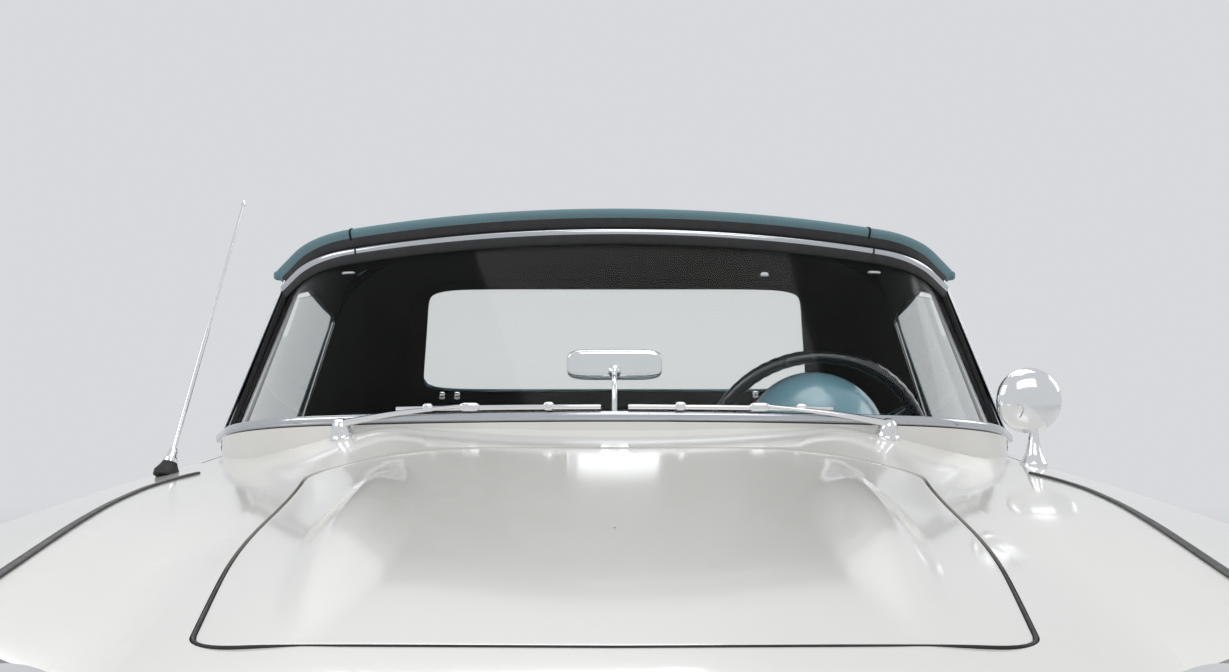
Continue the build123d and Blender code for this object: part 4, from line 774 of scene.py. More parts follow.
@dataclass
class ScreenCurve:
    """A windscreen edge in its own leaning plane: a wide arc, a corner arc and a straight end."""

    centre: Point
    corner: Point
    wide: float
    wide_turn: float
    bend: float
    bend_turn: float
    straight: float

    def axes(self) -> tuple[Array, Array]:
        """The plane's directions backwards and upwards."""
        back = unit(np.array((0.0, self.corner[1] - self.centre[1], self.corner[2] - self.centre[2])))
        return back, np.cross((1.0, 0.0, 0.0), back)

    def half(self, out: float = 0.0, count: int = 40, longer: float = 0.0) -> Array:
        """Half of the edge in its plane, from the middle.

        The wide arc's points are (r sin a, R - r cos a), the corner's go on about their own centre, and the
        end runs straight at the last heading.

        Args:
            out: How far ahead of the glass' middle the line runs.
            count: Points on the wide arc; the rest have fewer.
            longer: Added to the straight end.

        Returns:
            Pairs of x and distance back.
        """
        turn, total = math.radians(self.wide_turn), math.radians(self.wide_turn + self.bend_turn)
        radius, bend = self.wide + out, self.bend + out
        a = np.linspace(0, turn, count)
        wide = np.stack([radius * np.sin(a), self.wide - radius * np.cos(a)], 1)
        middle = np.array(
            [(self.wide - self.bend) * math.sin(turn), self.wide - (self.wide - self.bend) * math.cos(turn)]
        )
        b = np.linspace(turn, total, count // 2)[1:]
        corner = middle + bend * np.stack([np.sin(b), -np.cos(b)], 1)
        heading = np.array([math.cos(total), math.sin(total)])
        end = corner[-1] + np.linspace(0, self.straight + longer, 8)[1:, None] * heading
        return np.concatenate([wide, corner, end])

    def line(self, out: float = 0.0, rise: float = 0.0, longer: float = 0.0, count: int = 40) -> Array:
        """The whole edge in the car's frame, from the right end to the left."""
        back, up = self.axes()
        half = self.half(out, count, longer)
        x = np.concatenate([-half[::-1, 0], half[1:, 0]])
        deep = np.concatenate([half[::-1, 1], half[1:, 1]])
        start = np.array(self.centre) + up * rise
        return start + x[:, None] * np.array((1.0, 0, 0)) + deep[:, None] * back


def crossing(line: Array, x: float, wide: float = 0.003) -> Array:
    """Three points of a line that runs across the car, close together about one x."""
    at = x + np.array((-0.5, 0.0, 0.5)) * wide
    return np.stack([np.interp(at, line[:, 0], line[:, k]) for k in range(3)], 1)


BASE_EDGE = ScreenCurve((0, -0.715, 0.945), (0, -0.330, 0.885), 1.6, 17, 0.29, 55, 0.13)
HEADER_EDGE = ScreenCurve((0, -0.450, 1.266), (0, -0.290, 1.180), 1.6, 17, 0.17, 40, 0.06)


@dataclass
class Windscreen:
    """The bright mouldings on the windscreen's rubber: sill, header band and posts."""

    sill_size: tuple[float, float] = (0.014, 0.016)
    band_size: tuple[float, float] = (0.008, 0.013)
    rubber_size: tuple[float, float] = (0.005, 0.022)
    glass_half: float = 0.0028
    joint_x: float = 0.457

    def pane(self) -> Shape:
        """The curved glass: straight lines from the sill's curve to the header's, on both faces."""
        share = np.linspace(0, 1, 24)[:, None, None]
        faces = [
            BASE_EDGE.line(out)[None] * (1 - share) + HEADER_EDGE.line(out)[None] * share
            for out in (self.glass_half, -self.glass_half)
        ]
        return slab(*faces)

    def build(self) -> None:
        """Makes the glass and sweeps each moulding along its edge."""
        Build("windscreen_pane", (GLASS,), replaces=("windshield_glass",)).piece(self.pane())
        sill = sweep(BASE_EDGE.line(0.016, 0.006), rounded(*self.sill_size, 3.0))
        inner = sweep(BASE_EDGE.line(-0.016, 0.004), rounded(0.010, 0.018, 3.0))
        Build("windscreen_sill_moulding", (MOULDING,)).piece(Shape.joined([sill, inner]))
        band = sweep(HEADER_EDGE.line(0.0175, -0.018), rounded(*self.band_size, 3.0))
        Build("windscreen_header_moulding", (MOULDING,)).piece(band)
        joints = [
            sweep(crossing(HEADER_EDGE.line(0.0175, -0.018), side * self.joint_x), rounded(0.010, 0.015, 3.0))
            for side in (-1, 1)
        ]
        Build("windscreen_header_joints", (RUBBER,)).piece(Shape.joined(joints))
        over = sweep(HEADER_EDGE.line(0.0175, 0.004), rounded(*self.rubber_size, 3.0))
        under = sweep(HEADER_EDGE.line(0.014, -0.028), rounded(0.006, 0.020, 3.0))
        Build("windscreen_header_rubber", (RUBBER,)).piece(Shape.joined([over, under]))
        low, high = BASE_EDGE.line(0.012, 0.0, 0.0)[-1], HEADER_EDGE.line(0.010, 0.0, 0.0)[-1]
        middle = (low + high) / 2 + (0.004, 0, 0)
        path = smooth_path([low + (0.003, 0, 0.004), middle, high + (0.003, 0, 0)], 24)
        post = sweep(path, rounded(0.007, 0.020, 3.0), (0, 1, 0))
        Build("windscreen_post_mouldings", (MOULDING,)).piece(post.both())


ROOF_TABLE = np.array(
    [
        # y, z middle, x crown, crown drop, x edge, z edge, x at the belt
        (-0.500, 1.273, 0.300, 0.008, 0.594, 1.212, 0.744),
        (-0.390, 1.285, 0.320, 0.009, 0.597, 1.226, 0.748),
        (-0.200, 1.303, 0.335, 0.009, 0.600, 1.243, 0.751),
        (0.000, 1.311, 0.340, 0.009, 0.602, 1.250, 0.752),
        (0.250, 1.306, 0.340, 0.009, 0.600, 1.243, 0.754),
        (0.480, 1.276, 0.330, 0.009, 0.593, 1.208, 0.752),
        (0.660, 1.190, 0.330, 0.009, 0.588, 1.120, 0.746),
        (0.820, 1.035, 0.335, 0.009, 0.600, 0.985, 0.740),
        (0.960, 0.885, 0.350, 0.009, 0.632, 0.858, 0.735),
    ]
)


@dataclass
class SoftTop:
    """The fabric roof: one curved sheet with its lining, window binding, front roll, joints and catches."""

    belt: float = 0.800
    crown_radius: float = 0.5
    edge_radius: float = 0.095
    pane_top: float = 1.192
    pane_low: float = 0.935
    pane_half_top: float = 0.441
    pane_half_low: float = 0.487
    pane_round: float = 0.060
    opening_rear: float = 0.432
    front_blend: float = 0.16
    roll_joints: tuple[float, ...] = (-0.466, 0.449)
    buttons: tuple[tuple[Point, Point], ...] = (
        ((0.012, 0.008, 0.005), (-0.480, -0.350, 1.193)), ((0.012, 0.008, 0.005), (0.468, -0.352, 1.194)),
        ((0.008, 0.006, 0.006), (0.270, -0.355, 1.190)), ((0.008, 0.006, 0.009), (-0.422, 0.800, 0.925)),
        ((0.008, 0.006, 0.009), (-0.385, 0.800, 0.925)), ((0.008, 0.006, 0.008), (0.345, 0.800, 0.928)),
    )

    def section(self, y: Array, inset: float = 0.0, count: int = 161) -> Array:
        """Half sections of the roof.

        Each is a line of four points whose two inner corners are rounded by arcs that touch both runs, read
        at even steps of its length.

        Args:
            y: The sections' places.
            inset: How far inside the roof's outer face they lie.
            count: Points on each.

        Returns:
            Sections by points by x and z.
        """
        row = hermite(ROOF_TABLE[:, 0], ROOF_TABLE[:, 1:], np.clip(y, ROOF_TABLE[0, 0], ROOF_TABLE[-1, 0]))
        mid, crown, drop, edge, edge_z, belt_x = row.T
        zero = np.zeros_like(mid)
        corners = np.stack(
            [
                np.stack([zero, mid - inset], 1),
                np.stack([crown, mid - drop - inset], 1),
                np.stack([edge - inset * 0.6, edge_z - inset], 1),
                np.stack([belt_x - inset, zero + self.belt], 1),
            ],
            1,
        )
        runs = [corners[:, :1]]
        for number, radius in ((1, self.crown_radius), (2, self.edge_radius - inset)):
            here = corners[:, number]
            before, after = unit(corners[:, number - 1] - here), unit(corners[:, number + 1] - here)
            half = np.arccos(np.clip((before * after).sum(1), -1, 1)) / 2
            middle = here + unit(before + after) * (radius / np.sin(half))[:, None]
            reach = (radius / np.tan(half))[:, None]
            start, end = here + before * reach - middle, here + after * reach - middle
            turn = math.pi - 2 * half
            t = np.linspace(0, 1, 24)[None, :, None]
            from_start = np.sin((1 - t) * turn[:, None, None]) * start[:, None]
            arc = from_start + np.sin(t * turn[:, None, None]) * end[:, None]
            runs.append(middle[:, None] + arc / np.sin(turn)[:, None, None])
        runs.append(corners[:, 3:])
        line = np.concatenate(runs, axis=1)
        steps = np.linalg.norm(np.diff(line, axis=1), axis=2)
        length = np.concatenate([zero[:, None], np.cumsum(steps, axis=1)], axis=1)
        even = np.linspace(0, 1, count)
        return np.stack(
            [np.stack([np.interp(even * s[-1], s, p[:, k]) for k in (0, 1)], 1) for s, p in zip(length, line)]
        )

    def low_edge(self, y: Array) -> Array:
        """The cloth's lower edge at each y: over the door glass, then down behind it to the belt."""
        return np.interp(
            y,
            (-0.50, -0.286, 0.060, 0.400, 0.416, self.opening_rear, 0.960),
            (1.163, 1.154, 1.168, 1.118, 1.090, 0.872, 0.868),
        )

    def grid(self, inset: float, rows: int = 150, cols: int = 96) -> Array:
        """The roof's surface from the front edge to the rear, and from the right low edge to the left.

        Rows run between the header's curve and the rear edge, closer where the side drops to the belt, and
        columns share out the length above the low edge. The front rows are drawn to the header's top by a
        share that fades as 3s^2 - 2s^3.
        """
        header = HEADER_EDGE.line(0.016 - inset * 0.4)
        share = np.linspace(-1, 1, cols)
        t = np.sort(np.concatenate([np.linspace(0, 1, rows - 36), np.linspace(0.555, 0.64, 36)]))
        first = self.section(np.array([-0.42]), inset)[0]
        x_front = np.interp(np.abs(share), np.linspace(0, 1, len(first)) / 0.8, first[:, 0])
        y_front = np.interp(x_front, header[len(header) // 2:, 0], header[len(header) // 2:, 1])
        y = y_front[None] + (0.957 - y_front[None]) * t[:, None]
        out = np.zeros((len(t), cols, 3))
        half = cols // 2
        for column in range(half, cols):
            lines = self.section(y[:, column], inset)
            low = self.low_edge(y[:, column]) + inset * 0.2
            steps = np.arange(lines.shape[1])
            end = np.array([np.interp(-z, -line[:, 1], steps) for z, line in zip(low, lines)])
            at = end * share[column]
            x = np.array([np.interp(a, steps, line[:, 0]) for a, line in zip(at, lines)])
            z = np.array([np.interp(a, steps, line[:, 1]) for a, line in zip(at, lines)])
            out[:, column] = np.stack([x, y[:, column], z], 1)
            out[:, cols - 1 - column] = np.stack([-x, y[:, column], z], 1)
        seat = HEADER_EDGE.line(0.008 - inset * 0.4, 0.025 - inset)
        length = np.concatenate([[0], np.cumsum(np.linalg.norm(np.diff(seat, axis=0), axis=1))])
        at = (share + 1) / 2 * length[-1]
        target = np.stack([np.interp(at, length, seat[:, k]) for k in range(3)], 1)
        hold = np.clip(1 - t / self.front_blend, 0, 1)
        hold = hold**2 * (3 - 2 * hold)
        return out + hold[:, None, None] * (target - out[0])

    def in_pane(self, points: Array, grow: float) -> Array:
        """Whether points at the back lie inside the rear window's rounded outline."""
        share = (self.pane_top - points[:, 2]) / (self.pane_top - self.pane_low)
        half = self.pane_half_top + (self.pane_half_low - self.pane_half_top) * share + grow
        middle = (self.pane_top + self.pane_low) / 2
        tall = (self.pane_top - self.pane_low) / 2 + grow
        corner = self.pane_round + grow
        dx = np.maximum(np.abs(points[:, 0]) - (half - corner), 0)
        dz = np.maximum(np.abs(points[:, 2] - middle) - (tall - corner), 0)
        return (np.hypot(dx, dz) < corner) & (points[:, 1] > 0.6)

    def sheet(self, name: str, inset: float, finish: Finish, grow: float) -> tuple[bpy.types.Object, Array]:
        """One sheet with the rear window cut out of it."""
        points = self.grid(inset)
        shape = Shape.grid(points)
        middle = shape.points[shape.faces].mean(1)
        keep = ~self.in_pane(middle, grow)
        shape = Shape(shape.points, shape.faces[keep], shape.finish[keep], shape.uv)
        corners = shape.points[shape.faces]
        first, second = corners[:, 2] - corners[:, 0], corners[:, 3] - corners[:, 1]
        area = 0.5 * np.linalg.norm(np.cross(first, second), axis=1)
        build = Build(name, (finish,), replaces=("soft_top",) if inset == 0 else (), recalculate=False)
        return build.piece(shape), area.sum()

    def pane_line(self, grow: float, count: int = 200) -> Array:
        """The rear window's outline on the roof, its y found from the roof's sections."""
        angle = np.linspace(0, 2 * math.pi, count, endpoint=False)
        c, s = np.cos(angle), np.sin(angle)
        size = (np.abs(c) ** 9 + np.abs(s) ** 9) ** (-1 / 9)
        z = (self.pane_top + self.pane_low) / 2 + s * size * ((self.pane_top - self.pane_low) / 2 + grow)
        share = np.clip((self.pane_top - z) / (self.pane_top - self.pane_low), -0.1, 1.1)
        half = self.pane_half_top + (self.pane_half_low - self.pane_half_top) * share + grow
        x = c * size * half
        y = np.linspace(0.55, 0.958, 80)
        lines = self.section(y)
        places = []
        for px, pz in zip(np.abs(x), z):
            height = np.array([np.interp(px, line[:, 0], line[:, 1]) for line in lines])
            places.append(np.interp(-pz, -height, y))
        return np.stack([x, np.array(places), z], 1)

    def build(self) -> None:
        """Makes the sheet, its lining, the window binding, the front roll, its joints and the catches."""
        top, area = self.sheet("soft_top_cloth", 0.0, TOP_CLOTH, 0.004)
        solid = top.modifiers.new("thickness", "SOLIDIFY")
        solid.thickness, solid.offset = 0.003, -1.0
        lining, inner = self.sheet("soft_top_lining", 0.011, BLACK_LINING_AND_PAINTED_SHADE, 0.010)
        solid = lining.modifiers.new("thickness", "SOLIDIFY")
        solid.thickness, solid.offset = 0.002, 1.0
        outer = self.pane_line(0.010)
        away = np.array((0.0, 0.75, 0.66)) * 0.0025
        binding = sweep(outer + away, rounded(0.030, 0.006, 3.0), (0, 0.75, 0.66), loop=True)
        inner = self.pane_line(0.014) - away * 4.4
        hem = sweep(inner, rounded(0.046, 0.005, 3.0), (0, 0.75, 0.66), loop=True)
        Build("rear_window_binding", (TOP_CLOTH, BLACK_LINING_AND_PAINTED_SHADE)).piece(Shape.joined([binding, hem.marked(1)]))
        front = HEADER_EDGE.line(0.016, 0.0165, 0.012)
        roll = sweep(front, rounded(0.020, 0.027, 2.6), (0, -0.3, 1))
        ribs = [sweep(crossing(front, x), rounded(0.023, 0.030, 2.6), (0, -0.3, 1)) for x in self.roll_joints]
        Build("soft_top_roll_joints", (BLACK_LINING_AND_PAINTED_SHADE,)).piece(Shape.joined(ribs))
        buttons = [pillow(size, 0.6, 0.6, 10, 20).moved(at) for size, at in self.buttons]
        Build("soft_top_catches", (BRIGHT,)).piece(Shape.joined(buttons))
        corner = tuple(HEADER_EDGE.line(0.016, 0.018, 0.016)[-1])
        tab = pillow((0.014, 0.014, 0.009), 0.6, 0.6, 16, 28).moved(corner)
        Build("soft_top_front_roll", (TOP_CLOTH,)).piece(Shape.joined([roll, tab.both()]))


@dataclass
class Tyres:
    """Four tyres with a ribbed road tread and a white band on the outer wall."""

    radius: float = 0.345
    groove: float = 0.006
    notches: int = 60
    steps: int = 240

    def shape(self) -> Shape:
        """One tyre about the origin, its axle along x and its outer wall at +x.

        The profile's radius is turned about the axle; four grooves round the tread and a row of notches on
        each shoulder take a few millimetres off it.
        """
        wall = hermite(
            [0, 0.25, 0.5, 0.75, 1.0],
            [(0.0715, 0.1903), (0.0815, 0.222), (0.0838, 0.262), (0.0800, 0.305), (0.0700, 0.332)],
            np.linspace(0, 1, 14),
        )
        tread_x = np.linspace(0.066, -0.066, 48)
        tread_r = self.radius - 0.006 * (np.abs(tread_x) / 0.066) ** 3
        profile = np.concatenate(
            [wall, np.stack([tread_x, tread_r], 1), wall[::-1] * (-1, 1), [(-0.06, 0.186), (0.06, 0.186)]]
        )
        angle = np.linspace(0, 2 * math.pi, self.steps, endpoint=False)[:, None]
        x = np.broadcast_to(profile[:, 0], (self.steps, len(profile)))
        r = np.broadcast_to(profile[:, 1], x.shape).copy()
        on_tread = r > 0.331
        zigzag = 0.003 * np.sign(np.sin(angle * self.notches))
        for place in (-0.036, -0.012, 0.012, 0.036):
            r -= self.groove * (np.abs(x - place - zigzag) < 0.003) * on_tread
        shoulder = (np.abs(x) > 0.048) & on_tread
        r -= 0.004 * (np.sin(angle * self.notches) > 0.55) * shoulder
        points = np.stack([x, r * np.cos(angle), r * np.sin(angle)], -1)
        shape = Shape.grid(points, around=True, along=True)
        middle = shape.points[shape.faces].mean(1)
        radius = np.hypot(middle[:, 1], middle[:, 2])
        white = (middle[:, 0] > 0) & (radius > 0.228) & (radius < 0.288)
        return Shape(shape.points, shape.faces, white.astype(int), shape.uv)

    def build(self) -> None:
        """Places a tyre at each wheel, its white band outwards."""
        tyre = self.shape()
        for corner, x, y in WHEELS:
            placed = tyre if x > 0 else tyre.mirrored()
            body, node = f"wheel_{corner}_body", f"tyre_{corner}"
            build = Build("tyre_tread_" + corner, (TYRE, WHITEWALL), body, (node,), 25)
            build.piece(placed.moved((x, y, self.radius)))


WHEELS = (
    ("front_left", 0.724, -1.410),
    ("front_right", -0.724, -1.410),
    ("rear_left", 0.749, 1.181),
    ("rear_right", -0.749, 1.181),
)


@dataclass
class WheelCovers:
    """A pressed steel rim behind a bright full cover with a ring of slots and a domed middle."""

    slots: int = 10
    steps: int = 120

    def shape(self) -> Shape:
        """One wheel about the origin, its axle along x.

        The cover's profile is turned about the axle, and between two radii it is pressed in and out by a
        rounded wave with one crest for each slot.
        """
        face = [
            (0.006, 0.1885), (0.016, 0.1890), (0.021, 0.1850), (0.018, 0.178), (0.017, 0.172), (0.024, 0.160),
            (0.032, 0.148), (0.036, 0.136), (0.040, 0.122), (0.046, 0.108), (0.052, 0.096), (0.052, 0.090),
            (0.048, 0.084), (0.047, 0.074), (0.051, 0.070), (0.060, 0.058), (0.068, 0.040), (0.072, 0.020),
            (0.0735, 0.0),
        ]
        knots = np.arange(len(face))
        profile = hermite(knots, face, np.linspace(0, len(face) - 1, 84))
        angle = np.linspace(0, 2 * math.pi, self.steps, endpoint=False)[:, None]
        band = np.clip(1 - ((profile[:, 1] - 0.130) / 0.034) ** 2, 0, 1) ** 0.6
        wave = np.clip(np.cos(angle * self.slots) * 2.2, -1, 1)
        cover = lathe(profile, (0, 0, 0), (1, 0, 0), self.steps, -0.0055 * band * (0.5 + 0.5 * wave))
        centre, axle = (0, 0, 0), (1, 0, 0)
        back = lathe([(0.006, 0.1885), (0.002, 0.170), (0.002, 0.0)], centre, axle, 96)
        rim_face = [
            (-0.082, 0.184), (-0.082, 0.203), (-0.078, 0.203), (-0.077, 0.191), (-0.050, 0.187),
            (-0.030, 0.172), (0.020, 0.172), (0.045, 0.187), (0.076, 0.191), (0.078, 0.203), (0.082, 0.203),
            (0.083, 0.196), (0.080, 0.187), (0.050, 0.182), (0.020, 0.168), (-0.030, 0.168),
            (-0.050, 0.182), (-0.082, 0.184),
        ]
        rim = lathe(rim_face, centre, axle, 120)
        disc = lathe([(-0.004, 0.172), (-0.004, 0.08), (-0.036, 0.07), (-0.036, 0.0)], centre, axle, 96)
        drum_face = [
            (-0.072, 0.0), (-0.072, 0.135), (-0.070, 0.138), (-0.030, 0.138), (-0.028, 0.135), (-0.028, 0.0),
        ]
        drum = lathe(drum_face, centre, axle, 96)
        return Shape.joined([cover, back, rim.marked(1), disc.marked(1), drum.marked(2)])

    def build(self) -> None:
        """Places a wheel at each corner."""
        wheel = self.shape()
        for corner, x, y in WHEELS:
            placed = wheel if x > 0 else wheel.mirrored()
            finishes = (WHEEL, RIM_STEEL, IRON)
            build = Build("wheel_cover_" + corner, finishes, f"wheel_{corner}_body", (f"wheel_{corner}",), 40)
            build.piece(placed.moved((x, y, Tyres.radius)))


@dataclass
class Seats:
    """Two bucket seats: a padded cushion and back each, with sewn pleats, on a carpeted base."""

    x: float = 0.352
    voxel: float = 0.009
    swell_cap: float = 0.012
    pleats: int = 6

    def inflate(self, name: str, shape: Shape) -> bpy.types.Mesh:
        """Fills a cushion by cloth simulation under pressure, with a cap on how far it swells.

        Args:
            name: The cushion's name.
            shape: Its closed form before filling.

        Returns:
            The filled mesh, remeshed and smooth.
        """
        mesh = bpy.data.meshes.new(name + "_form")
        mesh.from_pydata(shape.points.tolist(), [], shape.faces.tolist())
        work = bmesh.new()
        work.from_mesh(mesh)
        bmesh.ops.remove_doubles(work, verts=work.verts, dist=1e-6)
        bmesh.ops.recalc_face_normals(work, faces=work.faces)
        work.to_mesh(mesh)
        work.free()
        holder = bpy.data.objects.new(name + "_form", mesh)
        bpy.context.scene.collection.objects.link(holder)
        remesh = holder.modifiers.new("even", "REMESH")
        remesh.mode, remesh.voxel_size = "VOXEL", self.voxel
        even = evaluated(holder)
        holder.modifiers.clear()
        holder.data = even
        rest = vertices(even)
        cloth = holder.modifiers.new("fill", "CLOTH")
        cloth.settings.use_pressure = True
        cloth.settings.uniform_pressure_force = 4.0
        cloth.settings.effector_weights.gravity = 0.0
        cloth.settings.quality = 4
        scene = bpy.context.scene
        for step in range(1, 16):
            scene.frame_set(step)
        filled = evaluated(holder)
        scene.frame_set(1)
        move = vertices(filled) - rest
        length = np.linalg.norm(move, axis=1, keepdims=True)
        capped = rest + move * np.minimum(1, self.swell_cap / np.maximum(length, 1e-9))
        filled.vertices.foreach_set("co", capped.astype(np.float32).ravel())
        holder.modifiers.clear()
        even = filled
        bpy.data.objects.remove(holder)
        even.materials.clear()
        return even

    def pleat(
        self, mesh: bpy.types.Mesh, x: float, wide: float, facing: Array, middle: Array, tall: float
    ) -> None:
        """Sews the pleats: points on the front face sink along it, most at each seam.

        A point's share is a narrow bell about the nearest seam, times how far inside the panel it lies.
        """
        points = vertices(mesh)
        normals = np.zeros(len(mesh.vertices) * 3, np.float32)
        mesh.vertices.foreach_get("normal", normals)
        facing = unit(facing)
        front = np.clip(normals.reshape(-1, 3) @ facing * 2.5 - 1.2, 0, 1)
        across = (points[:, 0] - x) / wide
        along = (points - middle) @ unit(np.cross(facing, (1.0, 0, 0))) / tall
        seam = np.abs(((across + 0.5) * self.pleats + 0.5) % 1 - 0.5) / self.pleats * wide
        inside = (np.abs(across) < 0.5 + 0.001) & (np.abs(along) < 0.5)
        groove = np.exp(-((seam / 0.005) ** 2)) * 0.007 * inside
        border = np.minimum(np.abs(np.abs(across) - 0.5) * wide, 1.0)
        rim = np.minimum(border, np.abs(np.abs(along) - 0.5) * tall)
        ring = np.exp(-((rim / 0.006) ** 2)) * 0.008 * (np.abs(across) < 0.52) * (np.abs(along) < 0.52)
        depth = np.maximum(groove, ring) * front
        mesh.vertices.foreach_set("co", (points - depth[:, None] * facing).astype(np.float32).ravel())

    def build(self) -> None:
        """Makes one seat and its mirror image, and their bases."""
        cushion_form = pillow((0.232, 0.262, 0.072), 0.32, 0.5, 40, 72).moved((self.x, 0.150, 0.408))
        lean = 18.0
        back_form = pillow((0.230, 0.052, 0.262), 0.34, 0.45, 44, 72).turned((1, 0, 0), -lean)
        back_form = back_form.moved((self.x, 0.452, 0.632))
        cushion = self.inflate("seat_cushion", cushion_form)
        back = self.inflate("seat_back", back_form)
        self.pleat(cushion, self.x, 0.33, np.array((0, 0, 1.0)), np.array((self.x, 0.12, 0.45)), 0.36)
        slope = math.radians(lean)
        facing = np.array((0, -math.cos(slope), math.sin(slope)))
        self.pleat(back, self.x, 0.33, facing, np.array((self.x, 0.43, 0.64)), 0.36)
        for side in Side:
            for part, mesh, names in (("cushion", cushion, (f"seat_{side.value}",)), ("back", back, ())):
                copy = mesh.copy()
                if side is Side.RIGHT:
                    points = vertices(copy) * (-1, 1, 1)
                    copy.vertices.foreach_set("co", points.astype(np.float32).ravel())
                    copy.flip_normals()
                piece = Build(f"seat_{part}_{side.value}", (TRIM,), "car_body", names, 60).dressed(copy)
                smooth = piece.modifiers.new("smooth", "SUBSURF")
                smooth.levels = smooth.render_levels = 1
        line = np.array([(self.x, 0.15, 0.258), (self.x, 0.15, 0.352)])
        base = sweep(line, rounded(0.40, 0.44, 8.0, 48), (0, 1, 0))
        Build("seat_bases", (CARPET,)).piece(base.both())


@dataclass
class SteeringWheel:
    """A thin dark rim with finger grips, three bright spokes and a domed horn button."""

    centre: Point = (0.380, -0.205, 0.854)
    tilt: float = 23.0
    radius: float = 0.202
    rim: float = 0.0125

    def build(self) -> None:
        """Makes the wheel flat about the column, then leans it."""
        count = 240
        angle = np.linspace(0, 2 * math.pi, count, endpoint=False)
        path = np.stack([self.radius * np.cos(angle), np.zeros(count), self.radius * np.sin(angle)], 1)
        grip = 1 + 0.05 * np.cos(angle * 60)
        rim = sweep(path, circle(self.rim, 20), (0, 1, 0), np.stack([grip, grip], 1), loop=True)
        spokes = []
        for turn in (90, 210, 330):
            r = np.linspace(0.026, self.radius - 0.004, 16)
            line = np.stack([r, -0.012 + 0.012 * (r / self.radius) ** 2, np.zeros(16)], 1)
            size = np.stack([1.25 - 0.5 * r / self.radius, np.ones(16)], 1)
            bar = sweep(line, rounded(0.026, 0.004, 4.0), (0, 1, 0), size)
            spokes.append(bar.turned((0, 1, 0), turn).marked(1))
        hub = lathe(
            [(-0.028, 0.0), (-0.028, 0.030), (-0.006, 0.034), (0.002, 0.034), (0.004, 0.031)],
            (0, 0, 0), (0, 1, 0), 64,
        )
        button_face = [(0.002, 0.031), (0.006, 0.028), (0.010, 0.018), (0.0115, 0.0)]
        button = lathe(button_face, (0, 0, 0), (0, 1, 0), 64)
        wheel = Shape.joined([rim, *spokes, hub, button.marked(1)]).turned((1, 0, 0), self.tilt)
        finishes = (WHEEL_RIM, BRIGHT)
        build = Build("steering_wheel_rim", finishes, "steering_wheel_body", ("steering_wheel",), 40)
        build.piece(wheel.moved(self.centre))


@dataclass
class Instruments:
    """The dials in the open face under the dash's dome: one large, four small, each with a bright rim."""

    x: float = 0.350
    face: float = -0.434
    z: float = 0.890
    dials: tuple[Point, ...] = (
        (0.0, 0.038, 0.058), (-0.080, -0.040, 0.026), (-0.027, -0.058, 0.024), (0.027, -0.058, 0.024),
        (0.080, -0.040, 0.026),
    )

    def build(self) -> None:
        """Turns each rim and face about its own line and lays a needle across it."""
        shapes = []
        for dx, dz, size in self.dials:
            centre = (self.x + dx, self.face + 0.0008, self.z + dz)
            rim = [(0.0, size), (0.006, size), (0.007, size - 0.003), (0.002, size - 0.004)]
            shapes.append(lathe(rim, centre, (0, 1, 0), 48))
            shapes.append(lathe([(0.0022, size - 0.003), (0.0022, 0.0)], centre, (0, 1, 0), 48).marked(1))
            needle = np.array([(0, 0.0035, 0), (-size * 0.5, 0.0035, size * 0.45)]) + centre
            shapes.append(sweep(needle, rounded(0.0016, 0.001, 3.0, 8), (0, 1, 0)).marked(2))
        angle = np.linspace(-0.72, math.pi + 0.72, 90)
        ring = np.stack([np.cos(angle), np.zeros(90), np.sin(angle)], 1) * 0.1225
        edge = ring + (self.x, self.face + 0.001, self.z)
        shapes.append(sweep(edge, circle(0.0028, 10), (0, 1, 0)))
        Build("instrument_dials", (BRIGHT, DIAL, MARKING)).piece(Shape.joined(shapes))


@dataclass
class Headlamps:
    """Twin round headlamps each side: bright bezel, fluted glass and reflector."""

    lamps: tuple[Point, ...] = ((0.535, -2.135, 0.714), (0.713, -2.098, 0.710))
    radius: float = 0.088
    lens: float = 0.074
    back: float = -2.02

    def build(self) -> None:
        """Turns every part of a lamp about its own line."""
        bezels, lenses, bowls = [], [], []
        for x, y, z in self.lamps:
            deep = y - self.back
            bezel = [
                (deep, 0.0), (deep, self.radius), (-0.004, self.radius), (0.0, self.radius - 0.0015),
                (0.004, 0.0835), (0.005, 0.080), (0.0035, 0.0765), (-0.002, 0.0745), (-0.012, 0.0735),
                (-0.014, 0.0),
            ]
            bezels.append(lathe(bezel, (x, y, z), (0, -1, 0), 96))
            face = [(0.012 * (1 - (r / self.lens) ** 2) + 0.001, r) for r in np.linspace(self.lens, 0, 14)]
            under = [(a - 0.004, r) for a, r in reversed(face)]
            lenses.append(lathe(face + under + face[:1], (x, y, z), (0, -1, 0), 60))
            bowl = [(-0.0135, 0.072), (-0.0125, 0.0)]
            bowls.append(lathe(bowl, (x, y, z), (0, -1, 0), 64))
        Build("headlamp_bezels", (BRIGHT,), replaces=("headlamps",)).piece(Shape.joined(bezels).both())
        Build("headlamp_lenses", (HEAD_GLASS,)).piece(Shape.joined(lenses).both())
        Build("headlamp_reflectors", (REFLECTOR,)).piece(Shape.joined(bowls).both())


